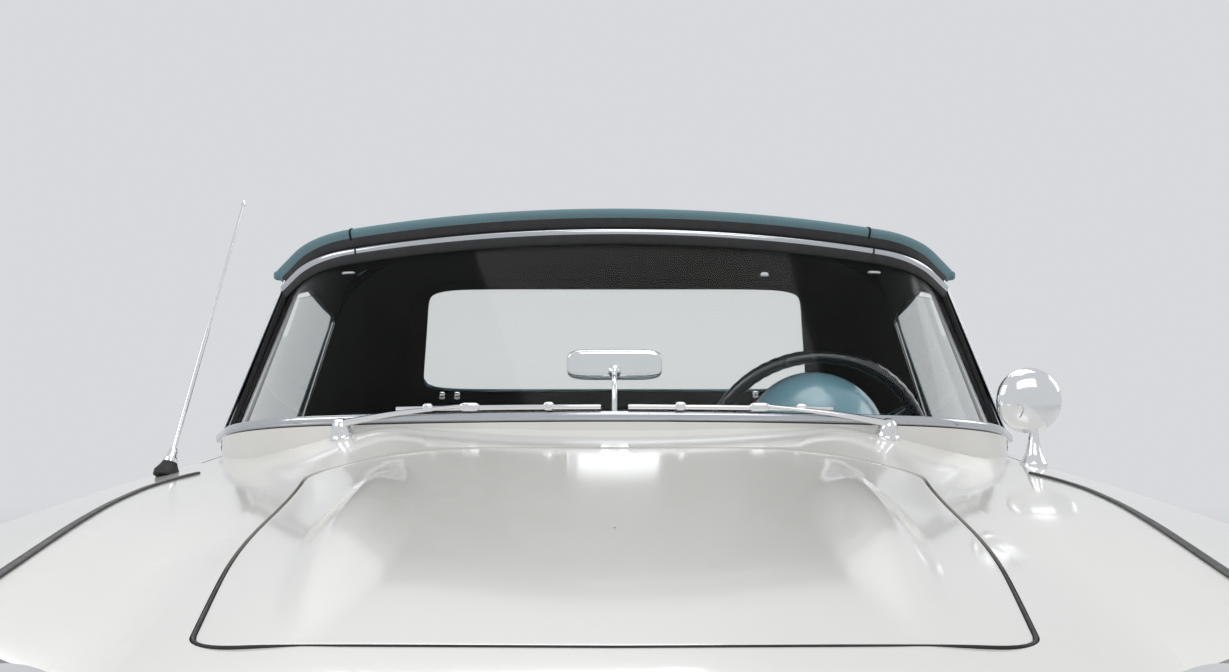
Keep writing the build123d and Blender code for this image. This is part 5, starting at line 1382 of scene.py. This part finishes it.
@dataclass
class OutsideMirror:
    """A round bright mirror on a tapering stalk, its glass facing back."""

    foot: Point = (0.690, -0.640, 0.862)
    head: Point = (0.683, -0.643, 0.974)

    def build(self) -> None:
        """Turns the head about the car's length and the stalk about an upright line."""
        dome = [
            (0.0125, 0.0), (0.012, 0.012), (0.0105, 0.024), (0.0075, 0.036), (0.003, 0.046),
            (-0.002, 0.0515), (-0.006, 0.0535), (-0.010, 0.0540), (-0.0120, 0.0530), (-0.0115, 0.0505),
            (-0.010, 0.0),
        ]
        head = lathe(dome, self.head, (0, -1, 0), 96)
        x, y = self.foot[:2]
        z = SKIN.above(x, y)
        stalk = [
            (-0.004, 0.0), (-0.004, 0.0225), (0.004, 0.0225), (0.008, 0.0195), (0.020, 0.0135),
            (0.040, 0.0095), (0.062, 0.0062), (0.082, 0.0052), (0.088, 0.0075), (0.095, 0.0088),
            (0.102, 0.0075), (0.106, 0.0),
        ]
        arm = lathe(stalk, (x, y, z), (0, 0, 1), 48)
        glass_face = [(-0.0105, 0.0), (-0.0118, 0.0), (-0.0118, 0.0495), (-0.0105, 0.0500)]
        glass = lathe(glass_face, self.head, (0, -1, 0), 64)
        pieces = Shape.joined([head, arm, glass.marked(1)])
        Build("outside_mirror_head", (BRIGHT, REFLECTOR), replaces=("outside_mirror",)).piece(pieces)


@dataclass
class InsideMirror:
    """A bright backed mirror on a slim stem from the dash."""

    head: Point = (0.0, -0.560, 1.031)
    foot: Point = (0.0, -0.622, 0.905)

    def build(self) -> None:
        """Makes a rounded box for the head, and a swept stem with its foot and joint."""
        back = pillow((0.080, 0.011, 0.026), 0.35, 0.4, 24, 64).moved(self.head)
        glass = pillow((0.0755, 0.002, 0.0225), 0.3, 0.3, 12, 48)
        glass = glass.moved((0, self.head[1] + 0.0105, self.head[2]))
        bends = [self.foot, (0, -0.618, 0.96), (0, -0.606, 1.002), (0, -0.572, 1.022)]
        stem = sweep(smooth_path(bends, 24), circle(0.0045, 16), (1, 0, 0))
        foot_face = [(0.0, 0.0), (0.0, 0.016), (0.004, 0.015), (0.010, 0.008), (0.016, 0.0055)]
        foot = lathe(foot_face, self.foot, (0, 0, 1), 32)
        joint = pillow((0.011, 0.011, 0.011), 1, 1, 12, 24).moved((0, -0.576, 1.020))
        shape = Shape.joined([back, stem, foot, joint, glass.marked(1)])
        Build("inside_mirror_head", (BRIGHT, REFLECTOR), replaces=("inside_mirror",)).piece(shape)


@dataclass
class Aerial:
    """A telescopic aerial: black foot, bright ferrule and a two-stage mast."""

    foot: Point = (-0.7095, -0.750, 0.862)
    tip: Point = (-0.625, -0.560, 1.308)

    def build(self) -> None:
        """Turns each stage about the mast's line."""
        foot, tip = np.array(self.foot), np.array(self.tip)
        length = float(np.linalg.norm(tip - foot))
        joint = length * 0.52
        base = [
            (-0.004, 0.0), (-0.004, 0.021), (0.004, 0.021), (0.010, 0.017), (0.016, 0.0135), (0.020, 0.012),
            (0.020, 0.0),
        ]
        ferrule = [
            (0.020, 0.0), (0.020, 0.0115), (0.026, 0.0115), (0.030, 0.0085), (0.040, 0.0075),
            (0.044, 0.0055), (0.044, 0.0),
        ]
        low = [
            (0.040, 0.0), (0.040, 0.0038), (joint, 0.0036), (length * 0.522, 0.0028), (length * 0.524, 0.0),
        ]
        high = [
            (joint, 0.0), (joint, 0.0023), (length - 0.010, 0.0020), (length - 0.009, 0.0034),
            (length - 0.004, 0.0036), (length, 0.002), (length, 0.0),
        ]
        axis = tuple(tip - foot)
        shapes = [lathe(base, self.foot, axis, 32).marked(1)]
        shapes += [lathe(profile, self.foot, axis, 24) for profile in (ferrule, low, high)]
        Build("aerial_mast", (BRIGHT, RUBBER), replaces=("antenna",)).piece(Shape.joined(shapes))


@dataclass
class Wipers:
    """Two wipers: pivot caps, tapering arms and jointed blades along the glass' foot."""

    pivot: tuple[float, float] = (0.440, -0.690)
    arm_end: float = 0.232
    blade: tuple[float, float] = (0.022, 0.352)

    def along(self, x: float, out: float = 0.0, rise: float = 0.0) -> Array:
        """A point over the windscreen's foot."""
        edge = BASE_EDGE.line(0.024 + out, 0.020 + rise)
        return np.array([np.interp(x, edge[:, 0], edge[:, k]) for k in range(3)])

    def build(self) -> None:
        """Sweeps arms and blades along the windscreen's foot, and turns the pivots."""
        x, y = self.pivot
        z = SKIN.above(x, y)
        foot = [
            (-0.016, 0.0), (-0.016, 0.0205), (0.004, 0.0205), (0.007, 0.0175), (0.014, 0.0160),
            (0.024, 0.0130), (0.029, 0.0080), (0.030, 0.0),
        ]
        cap = lathe(foot, (x, y, z), (0.1, -0.35, 1), 40)
        top = np.array((x - 0.004, y - 0.010, z + 0.022))
        arm_path = smooth_path(
            [top, top * 0.62 + self.along(self.arm_end, 0.006, 0.004) * 0.38 + (0, -0.001, 0.003),
             self.along(self.arm_end, 0.006, 0.004)], 40,
        )
        taper = np.stack([np.linspace(1.7, 0.6, 40), np.linspace(2.0, 0.8, 40)], 1)
        arm = sweep(arm_path, rounded(0.011, 0.006, 3.0, 16), (0, 0, 1), taper)
        xs = np.linspace(*self.blade, 40)
        edge = BASE_EDGE.line(0.024, 0.020)
        blade = np.stack([np.interp(xs, edge[:, 0], edge[:, k]) for k in range(3)], 1)
        spine = sweep(blade, rounded(0.005, 0.008, 3.0, 12), (0, 0, 1))
        lip = sweep(blade + (0, 0.009, -0.002), rounded(0.012, 0.003, 3.0, 12), (0, 0, 1)).marked(1)
        clips = [
            pillow((0.016 if px == self.arm_end else 0.008, 0.006, 0.007), 0.5, 0.5, 10, 20)
            .moved(tuple(self.along(px, 0.003, 0.001)))
            for px in (self.arm_end, 0.105, 0.300)
        ]
        shape = Shape.joined([cap, arm, spine, lip, *clips]).both()
        Build("wiper_arms", (BRIGHT, RUBBER), replaces=("wipers",)).piece(shape)


@dataclass
class Bonnet:
    """The bonnet's skin with a soft rib each side, its rolled edge, hinge arms, and a black strip in the gap
    round its front as a painted shadow.
    """

    middle_y: float = -1.380
    rings: int = 72
    steps: int = 300
    least_z: float = 0.780
    roll: float = 0.0025
    thick: float = 0.010
    gap: float = 0.005
    gap_shadow_rear: float = -1.500
    hinge: Point = (0.250, -1.960, 0.760)
    first_ring: float = 0.004
    edge_steps: int = 5
    under_rings: int = 40
    under_reach: float = 0.995
    arm: tuple[tuple[float, float], ...] = (
        (0.0, 0.0), (0.030, -0.026), (0.060, -0.046), (0.094, -0.036), (0.098, 0.028),
    )
    ribs: Array = field(default_factory=lambda: np.array([
        # y, inner foot, crest, outer foot, height
        (-1.870, 0.284, 0.306, 0.330, 0.0),
        (-1.790, 0.276, 0.312, 0.346, 0.0040),
        (-1.680, 0.260, 0.324, 0.364, 0.0100),
        (-1.560, 0.250, 0.333, 0.378, 0.0160),
        (-1.420, 0.246, 0.340, 0.386, 0.0210),
        (-1.250, 0.252, 0.342, 0.385, 0.0235),
        (-1.100, 0.270, 0.339, 0.374, 0.0180),
        (-0.980, 0.296, 0.336, 0.356, 0.0060),
        (-0.900, 0.315, 0.334, 0.346, 0.0),
    ]))

    def terms(self, x: Array, y: Array) -> Array:
        """The surface's terms at each place: even powers of x times powers of y."""
        across, along = x / 0.5, (y - self.middle_y) / 0.5
        return np.stack([across**i * along**j for i in (0, 2, 4, 6) for j in range(6)], -1)

    def plain(self, lid: Skin) -> Array:
        """The weights whose sum of terms lies closest, by least squares, to the CAD lid between its ribs."""
        x, y = np.meshgrid(np.linspace(0, 0.45, 46), np.linspace(-1.875, -0.880, 70))
        x, y = x.ravel(), y.ravel()
        z = np.array([lid.above(*place) for place in zip(x, y)])
        use = (z > self.least_z) & (np.abs(x - 0.320) > 0.070)
        weights, *_ = np.linalg.lstsq(self.terms(x[use], y[use]), z[use], rcond=None)
        miss = self.terms(x[use], y[use]) @ weights - z[use]
        LOG.info("bonnet skin within %.2f mm of the lid", 1000 * np.abs(miss).max())
        return weights

    def outline(self, lid: Skin) -> Array:
        """The lid's edge in plan: on each ray, the far end of a span that is halved fourteen times."""
        angle = np.linspace(0, 2 * math.pi, self.steps, endpoint=False)
        ray = np.stack([np.cos(angle), np.sin(angle)], 1)
        near, far = np.full(self.steps, 0.2), np.full(self.steps, 0.8)
        for _ in range(14):
            half = (near + far) / 2
            places = ray * half[:, None] + (0, self.middle_y)
            on_lid = np.array([lid.above(x, y) > self.least_z for x, y in places])
            near, far = np.where(on_lid, half, near), np.where(on_lid, far, half)
        return ray * near[:, None] + (0, self.middle_y)

    def rise(self, x: Array, y: Array) -> Array:
        """The ribs' height: a smooth step up from each foot to the crest, 3s^2 - 2s^3."""
        table = self.ribs
        row = hermite(table[:, 0], table[:, 1:], np.clip(y, table[0, 0], table[-1, 0]).ravel())
        inner, crest, outer, height = np.moveaxis(row.reshape(*y.shape, 4), -1, 0)
        x = np.abs(x)
        share = np.clip(np.minimum((x - inner) / (crest - inner), (outer - x) / (outer - crest)), 0, 1)
        inside = (y > table[0, 0]) & (y < table[-1, 0])
        return np.maximum(height, 0) * share**2 * (3 - 2 * share) * inside

    def build(self) -> None:
        """Makes the lid in rings from its middle to its edge, round the edge and back beneath."""
        lid = Skin(("hood",))
        weights, edge = self.plain(lid), self.outline(lid)
        middle = np.array((0.0, self.middle_y))
        reach = np.linalg.norm(edge - middle, axis=1)[:, None]
        bend = np.linspace(0, math.pi / 2, self.edge_steps)
        inward = 1 - np.linspace(self.first_ring, 1, self.rings)[:-1] * (1 - self.roll / reach)
        away = np.concatenate([reach * inward, self.roll * (1 - np.sin(bend)) * np.ones_like(reach)], 1)
        drop = np.concatenate([np.zeros(self.rings - 1), self.roll * (1 - np.cos(bend))])
        under = np.linspace(self.roll, self.under_reach * reach[:, 0], self.under_rings, axis=1)
        away = np.concatenate([away, np.zeros_like(reach), under], 1)
        drop = np.concatenate([drop, [self.thick], np.full(self.under_rings, self.thick)])
        share = 1 - away / reach
        flat = middle + (edge - middle)[:, None] * share[..., None]
        x, y = flat[..., 0], flat[..., 1]
        z = self.terms(x, y) @ weights + self.rise(x, y) - drop
        skin = Shape.grid(np.stack([x, y, z], -1), along=True)
        hx, hy, hz = self.hinge
        path = smooth_path([(hx, hy + dy, hz + dz) for dy, dz in self.arm], 30)
        arm = sweep(path, rounded(0.012, 0.011, 6.0, 20), (0, 0.3, 1))
        eye_face = [(-0.006, 0.0045), (-0.006, 0.009), (0.006, 0.009), (0.006, 0.0045), (-0.006, 0.0045)]
        eye = lathe(eye_face, self.hinge, (1, 0, 0), 40)
        arms = Shape.joined([arm, eye]).both()
        Build("bonnet_skin", (PAINT,), "hood_body", ("hood",), 30).piece(Shape.joined([skin, arms]))
        # Painted shadow: a black strip sunk in the gap round the bonnet's front to darken the gap line; it
        # sinks deeper towards its rear end.
        ahead = np.roll(edge, -1, axis=0) - np.roll(edge, 1, axis=0)
        outward = unit(np.stack([ahead[:, 1], -ahead[:, 0]], 1))
        line = np.roll(edge + outward * self.gap / 2, -self.steps // 2, axis=0)
        line = line[line[:, 1] < self.gap_shadow_rear]
        z = self.terms(line[:, 0], line[:, 1]) @ weights - 0.0035
        thin = np.clip((self.gap_shadow_rear - line[:, 1]) / 0.25, 0.05, 1)
        path = np.concatenate([line, (z - 0.003 * (1 - thin))[:, None]], 1)
        gap_shadow_strip = sweep(path, rounded(0.0042, 0.0105, 3.0, 16))
        Build("bonnet_gap_painted_shadow", (RUBBER,)).piece(gap_shadow_strip)


@dataclass
class FenderTrim:
    """The bright mouldings on the front fenders' sides and a slim strip along each crest, coloured black as a
    painted dark reflection and shade.
    """

    side_x: float = 0.75
    crest: tuple[tuple[float, float], ...] = (
        (0.650, -0.790), (0.6665, -0.9025), (0.6765, -1.000), (0.6757, -1.142), (0.664, -1.366),
        (0.6536, -1.554), (0.6462, -1.709), (0.634, -2.010),
    )
    count: int = 90

    def side(self) -> Shape:
        """The CAD mouldings, without the strips on the crests."""
        mesh = frame["nodes"]["fender_mouldings"].data
        points, faces = vertices(mesh), triangles(mesh)
        faces = faces[np.abs(points[faces].mean(1)[:, 0]) > self.side_x]
        return Shape(points, faces, np.zeros(len(faces), int), np.zeros((len(points), 2)))

    def build(self) -> None:
        """Lays the strips on the skin, wider at the front, and keeps the side mouldings."""
        sides = Build("fender_side_mouldings", (BRIGHT,), replaces=("fender_mouldings",), recalculate=False)
        sides.piece(self.side())
        plan = smooth_path(list(self.crest), self.count)
        heights = np.array([SKIN.above(x, y) for x, y in plan])
        z = np.polyval(np.polyfit(plan[:, 1], heights, 6), plan[:, 1]) + 0.0012
        path = np.column_stack([plan, z])
        size = np.stack([np.linspace(0.55, 1.0, self.count), np.linspace(0.8, 1.0, self.count)], 1)
        strip = sweep(path, rounded(0.013, 0.006, 3.0, 16), (0, 0, 1), size)
        # Painted reflection and shade: the crest strips are coloured black in place of their dark reflection
        # and the shade along the crest.
        Build("fender_crest_strips", (CREST_PAINTED_DARK,)).piece(strip.both())


@dataclass
class Bumpers:
    """Bright split bumpers at each corner, domed in section, each with an overrider."""

    table: tuple = (
        ("front_bumper", -1, 0.650, 2.212, 0.880, 2.085, 0.917, 1.880),
        ("rear_bumper", 1, 0.660, 2.214, 0.884, 2.095, 0.917, 1.900),
    )
    height: float = 0.090
    z: float = 0.395

    def blade(self) -> Array:
        """The bar's section: a domed face with rolled edges and a hollow back."""
        t = np.linspace(-1, 1, 17)
        face = np.stack([0.0075 - 0.010 * np.abs(t) ** 2.6, t * self.height / 2], 1)
        inner = np.stack([-0.0045 - 0.004 * np.abs(t[::-1]) ** 3, t[::-1] * (self.height / 2 - 0.004)], 1)
        return np.concatenate([face, inner])

    def build(self) -> None:
        """Sweeps the bars round the corners and adds guards and stays."""
        for name, end, mid_x, mid_y, corner_x, corner_y, end_x, end_y in self.table:
            points = [
                (0.280, end * 2.220, self.z), (0.470, end * 2.219, self.z), (mid_x, end * mid_y, self.z),
                (0.790, end * (mid_y + corner_y) / 2 * 1.012, self.z), (corner_x, end * corner_y, self.z),
                (end_x - 0.006, end * (corner_y * 0.6 + end_y * 0.4), self.z), (end_x, end * end_y, self.z),
            ]
            path = smooth_path(points, 90)
            profile = self.blade() * ((1 if end < 0 else -1), 1)
            grow = np.ones(90)
            grow[:5] = grow[-5:][::-1] = np.sqrt(np.linspace(0.12, 1, 5))
            bar = sweep(path, profile, (0, 0, 1), np.stack([np.ones(90), grow], 1))
            guard = pillow((0.036, 0.027, 0.078), 0.7, 0.55, 30, 40).moved((0.420, end * 2.2225, 0.402))
            line = np.array([(0.420, end * 2.05, 0.376), (0.420, end * 2.21, 0.376)])
            stay = sweep(line, rounded(0.036, 0.008, 4.0, 16))
            shape = Shape.joined([bar, guard, stay.marked(1)]).both()
            Build(name + "_bars", (BRIGHT, STEEL), replaces=(name,)).piece(shape)


@dataclass
class Grille:
    """The bright mouth ring, a row of upright teeth across it and a bar behind them."""

    half: float = 0.4797
    tall: float = 0.0977
    z: float = 0.508
    teeth: int = 9

    def build(self) -> None:
        """Sweeps the ring round the mouth, the bar along it and each tooth from top to bottom."""
        count = 160
        angle = np.linspace(0, 2 * math.pi, count, endpoint=False)
        straight = self.half - self.tall
        c, s = np.cos(angle), np.sin(angle)
        inset = 0.011
        bend = self.tall - inset
        path = np.stack([np.sign(c) * straight + bend * c, np.full(count, -2.200), self.z + bend * s], 1)
        ring = sweep(path, rounded(0.021, 0.018, 2.6, 20), (0, 1, 0), loop=True)
        sleeve = sweep(path + (0, 0.042, 0), rounded(0.014, 0.070, 5.0, 20), (0, 1, 0), loop=True)
        across = np.array([(-0.466, -2.140, self.z), (0.466, -2.140, self.z)])
        bar = sweep(across, rounded(0.020, 0.024, 3.0, 20))
        teeth = []
        for number in range(self.teeth):
            x = (number - (self.teeth - 1) / 2) * 0.780 / (self.teeth - 1)
            t = np.linspace(-1, 1, 40)
            line = np.stack([np.full(40, x), -2.148 - 0.046 * (1 - t**2) ** 0.8, self.z + 0.082 * t], 1)
            size = np.stack([0.55 + 0.45 * (1 - t**2) ** 0.6, 0.45 + 0.55 * (1 - t**2) ** 0.5], 1)
            teeth.append(sweep(line, rounded(0.030, 0.022, 2.2, 20), (0, 1, 0), size))
        Build("grille_ring", (BRIGHT,), replaces=("grille",)).piece(Shape.joined([ring, sleeve, bar, *teeth]))


@dataclass
class RoundLamps:
    """Side lamps in the nose and red tail lamps: bright bezels with domed glass."""

    def build(self) -> None:
        """Turns each lamp about its own line, set on the CAD lamp's face."""
        for name, x, z, radius, front, face, glass in (
            ("parking_lamps", 0.655, 0.500, 0.040, -2.170, -1, SIDE_GLASS),
            ("tail_lamps", 0.560, 0.640, 0.042, 2.190, 1, RED_GLASS),
        ):
            centre, facing = (x, front, z), (0, face, 0)
            bezel_face = [
                (-0.09, 0.0), (-0.09, radius), (0.0, radius), (0.006, radius - 0.002),
                (0.008, radius - 0.006), (0.005, radius - 0.009), (-0.004, radius - 0.010), (-0.004, 0.0),
            ]
            bezel = lathe(bezel_face, centre, facing, 64)
            clear = radius - 0.008
            dome = [(0.016 * (1 - (r / clear) ** 2) + 0.002, r) for r in np.linspace(clear, 0, 10)]
            lens = lathe([(-0.003, 0.0), (-0.003, clear)] + dome, centre, facing, 64)
            shape = Shape.joined([bezel, lens.marked(1)]).both()
            Build(name + "_glass", (BRIGHT, glass), replaces=(name,)).piece(shape)


@dataclass
class Cabin:
    """What lines the cabin: door cards with handles, the carpet and a gear lever."""

    card_front: float = -0.560
    card_rear: float = 0.440
    card_low: float = 0.325
    card_top: float = 0.835
    carpet_rows: int = 60

    def door_card(self) -> Shape:
        """The card inside the left door, with upright pleats and a roll along its top."""
        y = np.linspace(self.card_front, self.card_rear, 110)[:, None]
        z = np.linspace(self.card_low, self.card_top, 58)[None]
        pleat = 0.0025 * np.abs(np.sin((y - self.card_front) * math.pi / 0.05)) * ((z > 0.40) & (z < 0.68))
        from_ends = np.minimum(y - self.card_front, self.card_rear - y)
        edge = np.minimum(from_ends, np.minimum(z - self.card_low, self.card_top - z))
        round_off = 0.005 * (1 - np.clip(edge / 0.012, 0, 1) ** 0.5)
        roll = 0.004 * np.exp(-(((z - 0.80) / 0.02) ** 2))
        x = 0.6865 - 0.0015 - pleat - roll + round_off
        top = np.stack([x, y * np.ones_like(z), z * np.ones_like(y)], -1)
        under = np.stack([np.full_like(x, 0.6915), y * np.ones_like(z), z * np.ones_like(y)], -1)
        return slab(top, under)

    def build(self) -> None:
        """Makes the cards and their fittings on the doors, and the carpet and lever on the body."""
        card = self.door_card()
        arm = pillow((0.022, 0.150, 0.022), 0.5, 0.5, 20, 40).moved((0.668, 0.14, 0.655))
        crank_face = [(0.0, 0.0), (0.0, 0.020), (0.006, 0.018), (0.008, 0.0)]
        crank = lathe(crank_face, (0.685, -0.26, 0.60), (-1, 0, 0), 32)
        thin = rounded(0.010, 0.006, 3.0, 12)
        bends = [(0.679, -0.26, 0.60), (0.674, -0.22, 0.60), (0.672, -0.17, 0.60)]
        lever = sweep(smooth_path(bends, 12), thin, (1, 0, 0))
        knob = pillow((0.014, 0.010, 0.010), 1, 1, 12, 20).moved((0.662, -0.172, 0.60))
        bends = [(0.684, -0.10, 0.745), (0.672, -0.05, 0.745), (0.684, 0.0, 0.745)]
        pull = sweep(smooth_path(bends, 16), rounded(0.012, 0.006, 3.0, 12), (1, 0, 0))
        fittings = Shape.joined([crank, lever, knob, pull])
        for side in Side:
            side.on_door("door_card", (TRIM,), Shape.joined([card, arm]))
            side.on_door("door_fittings", (BRIGHT,), fittings)
        half = np.array(
            [(0.0, 0.405), (0.096, 0.405), (0.105, 0.396), (0.107, 0.270), (0.118, 0.260), (0.640, 0.260)]
        )
        profile = np.concatenate([half[::-1] * (-1, 1), half[1:]])
        y = np.linspace(-0.84, 0.595, self.carpet_rows)[:, None]
        top = np.stack(np.broadcast_arrays(profile[:, 0], y, profile[:, 1]), -1)
        Build("cabin_carpet", (CARPET,), crease=60).piece(slab(top, top - (0, 0, 0.0025)))
        bends = [(0, -0.16, 0.404), (0.004, -0.15, 0.47), (0.012, -0.12, 0.54)]
        stick = sweep(smooth_path(bends, 16), circle(0.007, 16), (0, 1, 0))
        boot_face = [(0.0, 0.055), (0.006, 0.050), (0.020, 0.030), (0.034, 0.014), (0.036, 0.008)]
        boot = lathe(boot_face, (0, -0.16, 0.403), (0, 0, 1), 40)
        ball = pillow((0.019, 0.019, 0.020), 1, 1, 16, 28).moved((0.0135, -0.117, 0.553))
        Build("gear_lever", (BRIGHT, RUBBER)).piece(Shape.joined([stick, boot.marked(1), ball.marked(1)]))


@dataclass
class DoorGlassFrames:
    """Slim bright frames on the front and rear edges of each door's glass."""

    belt_x: float = 0.705
    belt_z: float = 0.870
    lean: float = 0.335

    def place(self, y: float, z: float, out: float = 0.0) -> Point:
        """A point on the leaning glass."""
        return (self.belt_x - self.lean * (z - self.belt_z) + out, y, z)

    def build(self) -> None:
        """Sweeps each frame along the glass."""
        runs = []
        for points in (
            [(-0.2925, 0.882), (-0.276, 1.00), (-0.2575, 1.139)],
            [(0.4125, 0.882), (0.403, 1.00), (0.3935, 1.104)],
        ):
            path = smooth_path([self.place(y, z) for y, z in points], 24)
            runs.append(sweep(path, rounded(0.010, 0.008, 3.0, 16), (0, 1, 0)))
        for side in Side:
            side.on_door("door_glass_frames", (BRIGHT,), Shape.joined(runs))


@dataclass
class DoorHandles:
    """A bright pull handle with a push button on each door."""

    def build(self) -> None:
        """Sweeps the handle off the door's skin."""
        front, rear, z = 0.300, 0.415, 0.735
        x = SKIN.beside(0.36, z)
        bends = [
            (x - 0.004, front, z), (x + 0.014, front + 0.022, z), (x + 0.018, front + 0.055, z),
            (x + 0.010, rear - 0.018, z), (x - 0.004, rear, z),
        ]
        bar = sweep(smooth_path(bends, 36), rounded(0.020, 0.010, 2.6, 20), (1, 0, 0))
        button_face = [(-0.006, 0.0), (-0.006, 0.0105), (0.007, 0.0105), (0.010, 0.008), (0.0105, 0.0)]
        button = lathe(button_face, (x, rear + 0.016, z), (1, 0, 0), 32)
        for side in Side:
            side.on_door("door_handle", (BRIGHT,), Shape.joined([bar, button]))


@dataclass
class Studio:
    """Plain pale floor, soft lamps and the camera at the photograph's viewing angle."""

    focal_px: float = 1800.0
    width_px: float = 1229.0
    camera_place: Point = (0.0, -3.600, 1.100)
    look_down: float = 0.38

    def floor(self) -> None:
        """A wide pale floor with a faint change of tone."""
        mesh = bpy.data.meshes.new("studio_floor")
        corners = np.array([(-10, -10, 0), (10, -10, 0), (10, 10, 0), (-10, 10, 0)], float)
        mesh.from_pydata(corners.tolist(), [], [(0, 1, 2, 3)])
        floor = bpy.data.objects.new("studio_floor", mesh)
        bpy.context.scene.collection.objects.link(floor)
        mesh.materials.append(FLOOR_GREY.make())

    def lamp(self, name: str, place: Point, aim: Point, size: tuple[float, float], watts: float) -> None:
        """An area lamp that points at a place."""
        data = bpy.data.lights.new(name, "AREA")
        data.shape, data.size, data.size_y = "RECTANGLE", *size
        data.energy = watts
        lamp = bpy.data.objects.new(name, data)
        lamp.location = place
        lamp.rotation_euler = (Vector(aim) - Vector(place)).to_track_quat("-Z", "Y").to_euler()
        bpy.context.scene.collection.objects.link(lamp)

    def build(self) -> None:
        """Sets the floor, lamps, world, view and camera."""
        self.floor()
        self.lamp("top_lamp", (0.3, -1.0, 5.0), (0, -0.6, 0.6), (2.6, 3.2), 62)
        self.lamp("key_lamp", (-4.6, -3.0, 3.4), (0, -0.6, 0.6), (3.2, 2.4), 52)
        self.lamp("front_lamp", (1.2, -7.6, 4.6), (0, -1.0, 0.6), (4.4, 2.4), 62)
        self.lamp("side_lamp", (4.8, 0.8, 3.0), (0, 0.2, 0.6), (3.2, 2.2), 40)
        self.lamp("rear_lamp", (-1.0, 4.6, 5.6), (0, 1.0, 0.7), (3.6, 2.4), 60)
        world = bpy.data.worlds.new("studio_world")
        world.use_nodes = True
        tree = world.node_tree
        back = tree.nodes["Background"]
        path = tree.nodes.new("ShaderNodeLightPath")
        seen = tree.nodes.new("ShaderNodeMath")
        seen.operation = "MAXIMUM"
        tree.links.new(path.outputs["Is Camera Ray"], seen.inputs[0])
        tree.links.new(path.outputs["Is Transmission Ray"], seen.inputs[1])
        mirrored = tree.nodes.new("ShaderNodeMath")
        mirrored.operation = "MAXIMUM"
        tree.links.new(seen.outputs[0], mirrored.inputs[0])
        tree.links.new(path.outputs["Is Glossy Ray"], mirrored.inputs[1])
        level = tree.nodes.new("ShaderNodeMapRange")
        tree.links.new(mirrored.outputs[0], level.inputs["Value"])
        level.inputs["To Min"].default_value = 0.50
        level.inputs["To Max"].default_value = 0.72
        tree.links.new(level.outputs["Result"], back.inputs["Strength"])
        back.inputs["Color"].default_value = (0.95, 0.97, 1.0, 1.0)
        bpy.context.scene.world = world
        data = bpy.data.cameras.new("camera")
        data.sensor_fit, data.sensor_width = "HORIZONTAL", 36.0
        data.lens = self.focal_px / self.width_px * data.sensor_width
        camera = bpy.data.objects.new("camera", data)
        camera.location = self.camera_place
        camera.rotation_euler = (math.radians(90 - self.look_down), 0, 0)
        bpy.context.scene.collection.objects.link(camera)
        bpy.context.scene.camera = camera
        bpy.context.scene.view_settings.view_transform = "Standard"


def main() -> None:
    """Builds the car's pieces in order."""
    logging.basicConfig(level=logging.INFO, format="%(name)s %(message)s")
    Studio().build()
    Panels().dress()
    for assembly in (
        Windscreen(), SoftTop(), Tyres(), WheelCovers(), Seats(), SteeringWheel(), Instruments(), Headlamps(),
        OutsideMirror(), InsideMirror(), Aerial(), Wipers(), Bonnet(), FenderTrim(), Bumpers(), Grille(),
        RoundLamps(), Cabin(), DoorGlassFrames(), DoorHandles(),
    ):
        LOG.info("building %s", type(assembly).__name__)
        assembly.build()


if __name__ == "__main__":
    main()
